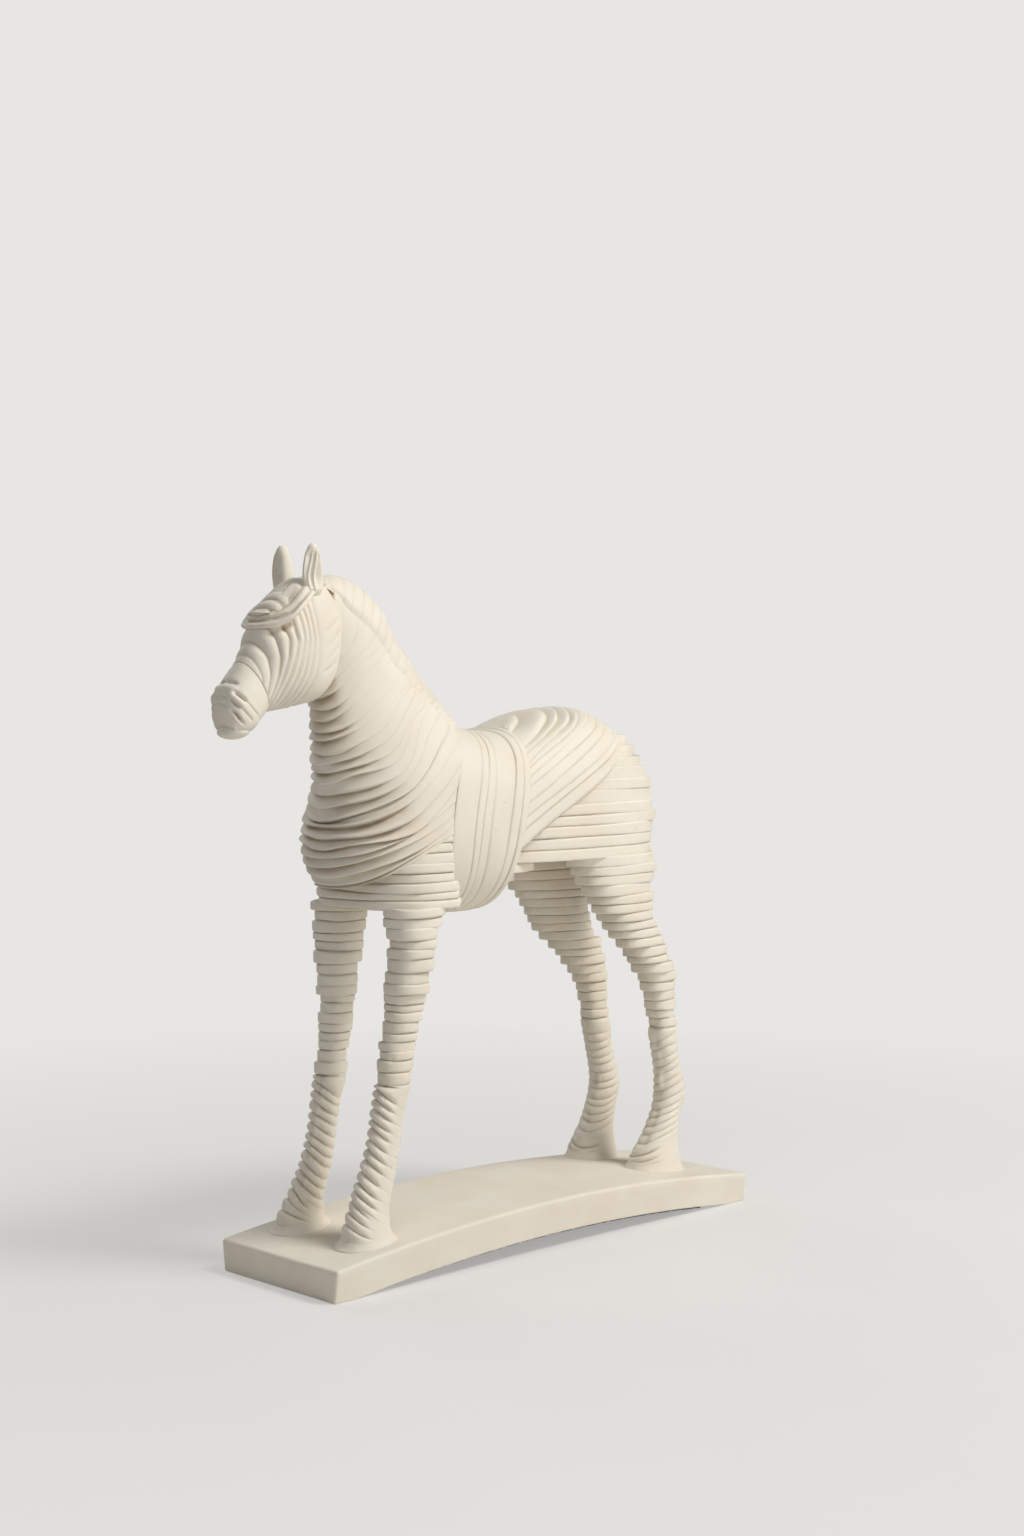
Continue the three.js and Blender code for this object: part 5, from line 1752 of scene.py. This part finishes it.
# %% Plinth sections
plinth_width = 80.7
arch_rise = 7.2
land_width = 14.0
plinth_draft = 1.6
edge_round = 1.4
arch_half = plinth_half - land_width


def arch_under(x):
    """Height of the underside of the arch."""
    return np.where(np.abs(x) < arch_half, arch_rise * (1 - (x / arch_half) ** 2), 0)


def rounded_box_ring(half_wide, low, high, draft, radius, steps=6):
    """One upright section of the plinth, with rounded corners, as offsets (y, z)."""
    corners = [(1, 1), (-1, 1), (-1, -1), (1, -1)]
    points = []
    for k, (sy, sz) in enumerate(corners):
        small = radius if sz > 0 else radius * 0.5
        wide = half_wide if sz > 0 else half_wide - draft
        level = high if sz > 0 else low
        for t in np.linspace(0, np.pi / 2, steps):
            a = t + k * np.pi / 2
            y = sy * (wide - small) + small * np.cos(a)
            points.append((y, level - sz * small + small * np.sin(a)))
    return np.array(points)


def split_sides(ring):
    """The section with its straight sides split up: 40 steps on the top and underside, 6 on the flanks."""
    dense = []
    for a, b in zip(ring, np.roll(ring, -1, 0)):
        if abs(a[0] - b[0]) > 20:
            steps = 40
        elif np.linalg.norm(b - a) > 3:
            steps = 6
        else:
            steps = 1
        dense.extend(a + (b - a) * t for t in np.arange(steps) / steps)
    return dense


sample_ring = rounded_box_ring(plinth_width / 2, 0, plinth_end, plinth_draft, edge_round)
print("points on a plinth section:", len(split_sides(sample_ring)))

# %% Plinth
end_curve = edge_round * (1 - np.cos(np.linspace(0, np.pi / 2, 7)))[1:]
stations = np.concatenate([
    [-plinth_half],
    -plinth_half + end_curve,
    np.linspace(-plinth_half + 2.5, plinth_half - 2.5, 150),
    (plinth_half - end_curve)[::-1],
    [plinth_half],
])
plinth_rings = []
for x in stations:
    past = max(0, abs(x) - plinth_half + edge_round)
    inset = edge_round - math.sqrt(max(0, edge_round**2 - past**2))
    low = float(arch_under(x)) + inset * 0.5
    high = plinth_top(x) - inset
    ring = rounded_box_ring(plinth_width / 2 - inset, low, high, plinth_draft, edge_round)
    plinth_rings.append([(x, y, z) for y, z in split_sides(ring)])
plinth_grid = np.array(plinth_rings)
uneven = np.sin(plinth_grid[..., 0] * 0.045 + 1.0) * np.cos(plinth_grid[..., 1] * 0.06 + 0.4)
top_share = smooth_step(10, 14, plinth_grid[..., 2])
plinth_grid[..., 2] -= (0.18 + 0.18 * uneven) * top_share
plinth_mesh = loft("plinth", plinth_grid, plain_fields(plinth_grid), plinth_to_part)
hand_over(with_relief(plinth_mesh, crest=0.1, wave=0.0, drag=0.0, seed=16), "plinth")

# %% [markdown]
# Under the arch a thin felt liner shows as a ragged black edge. It was cut by hand and glued in. A flat
# strip with a Solidify modifier would do for the sheet, but both of its long edges wander on their own, so
# its sections are written out one by one, each with its own width to the left and the right.

# %% Felt liner
liner_half = plinth_half - 32.0
liner_side = plinth_width / 2 - plinth_draft - 3.0
liner_thickness = 0.9
liner_gap = 0.3
liner_columns = 30
x = np.linspace(-liner_half, liner_half, 160)
slow_bends = ripples(171, 2, x * 0.35, waves=8) * 0.8
quick_bends = ripples(173, 2, x * 1.7, waves=8) * 0.4
ragged = slow_bends + quick_bends
liner_rings = []
for k, place_x in enumerate(x):
    top = float(arch_under(place_x)) - liner_gap
    wide_left = liner_side + min(0.0, ragged[0, k]) - 0.1
    wide_right = liner_side + min(0.0, ragged[1, k]) - 0.1
    across = np.linspace(-wide_left, wide_right, liner_columns)
    back_across = np.linspace(wide_right, -wide_left, liner_columns)
    heights = np.repeat([top, top - liner_thickness], liner_columns)
    places = np.full(2 * liner_columns, place_x)
    liner_rings.append(np.stack([places, np.concatenate([across, back_across]), heights], -1))
liner_grid = np.array(liner_rings)
liner_mesh = loft("liner", liner_grid, {}, plinth_to_part)
liner_mesh.materials.append(felt)
hand_over(liner_mesh, "felt_liner")

# %% [markdown]
# At the end the script counts the triangles of all the pieces.

# %% Triangles
print("triangles:", made_faces)
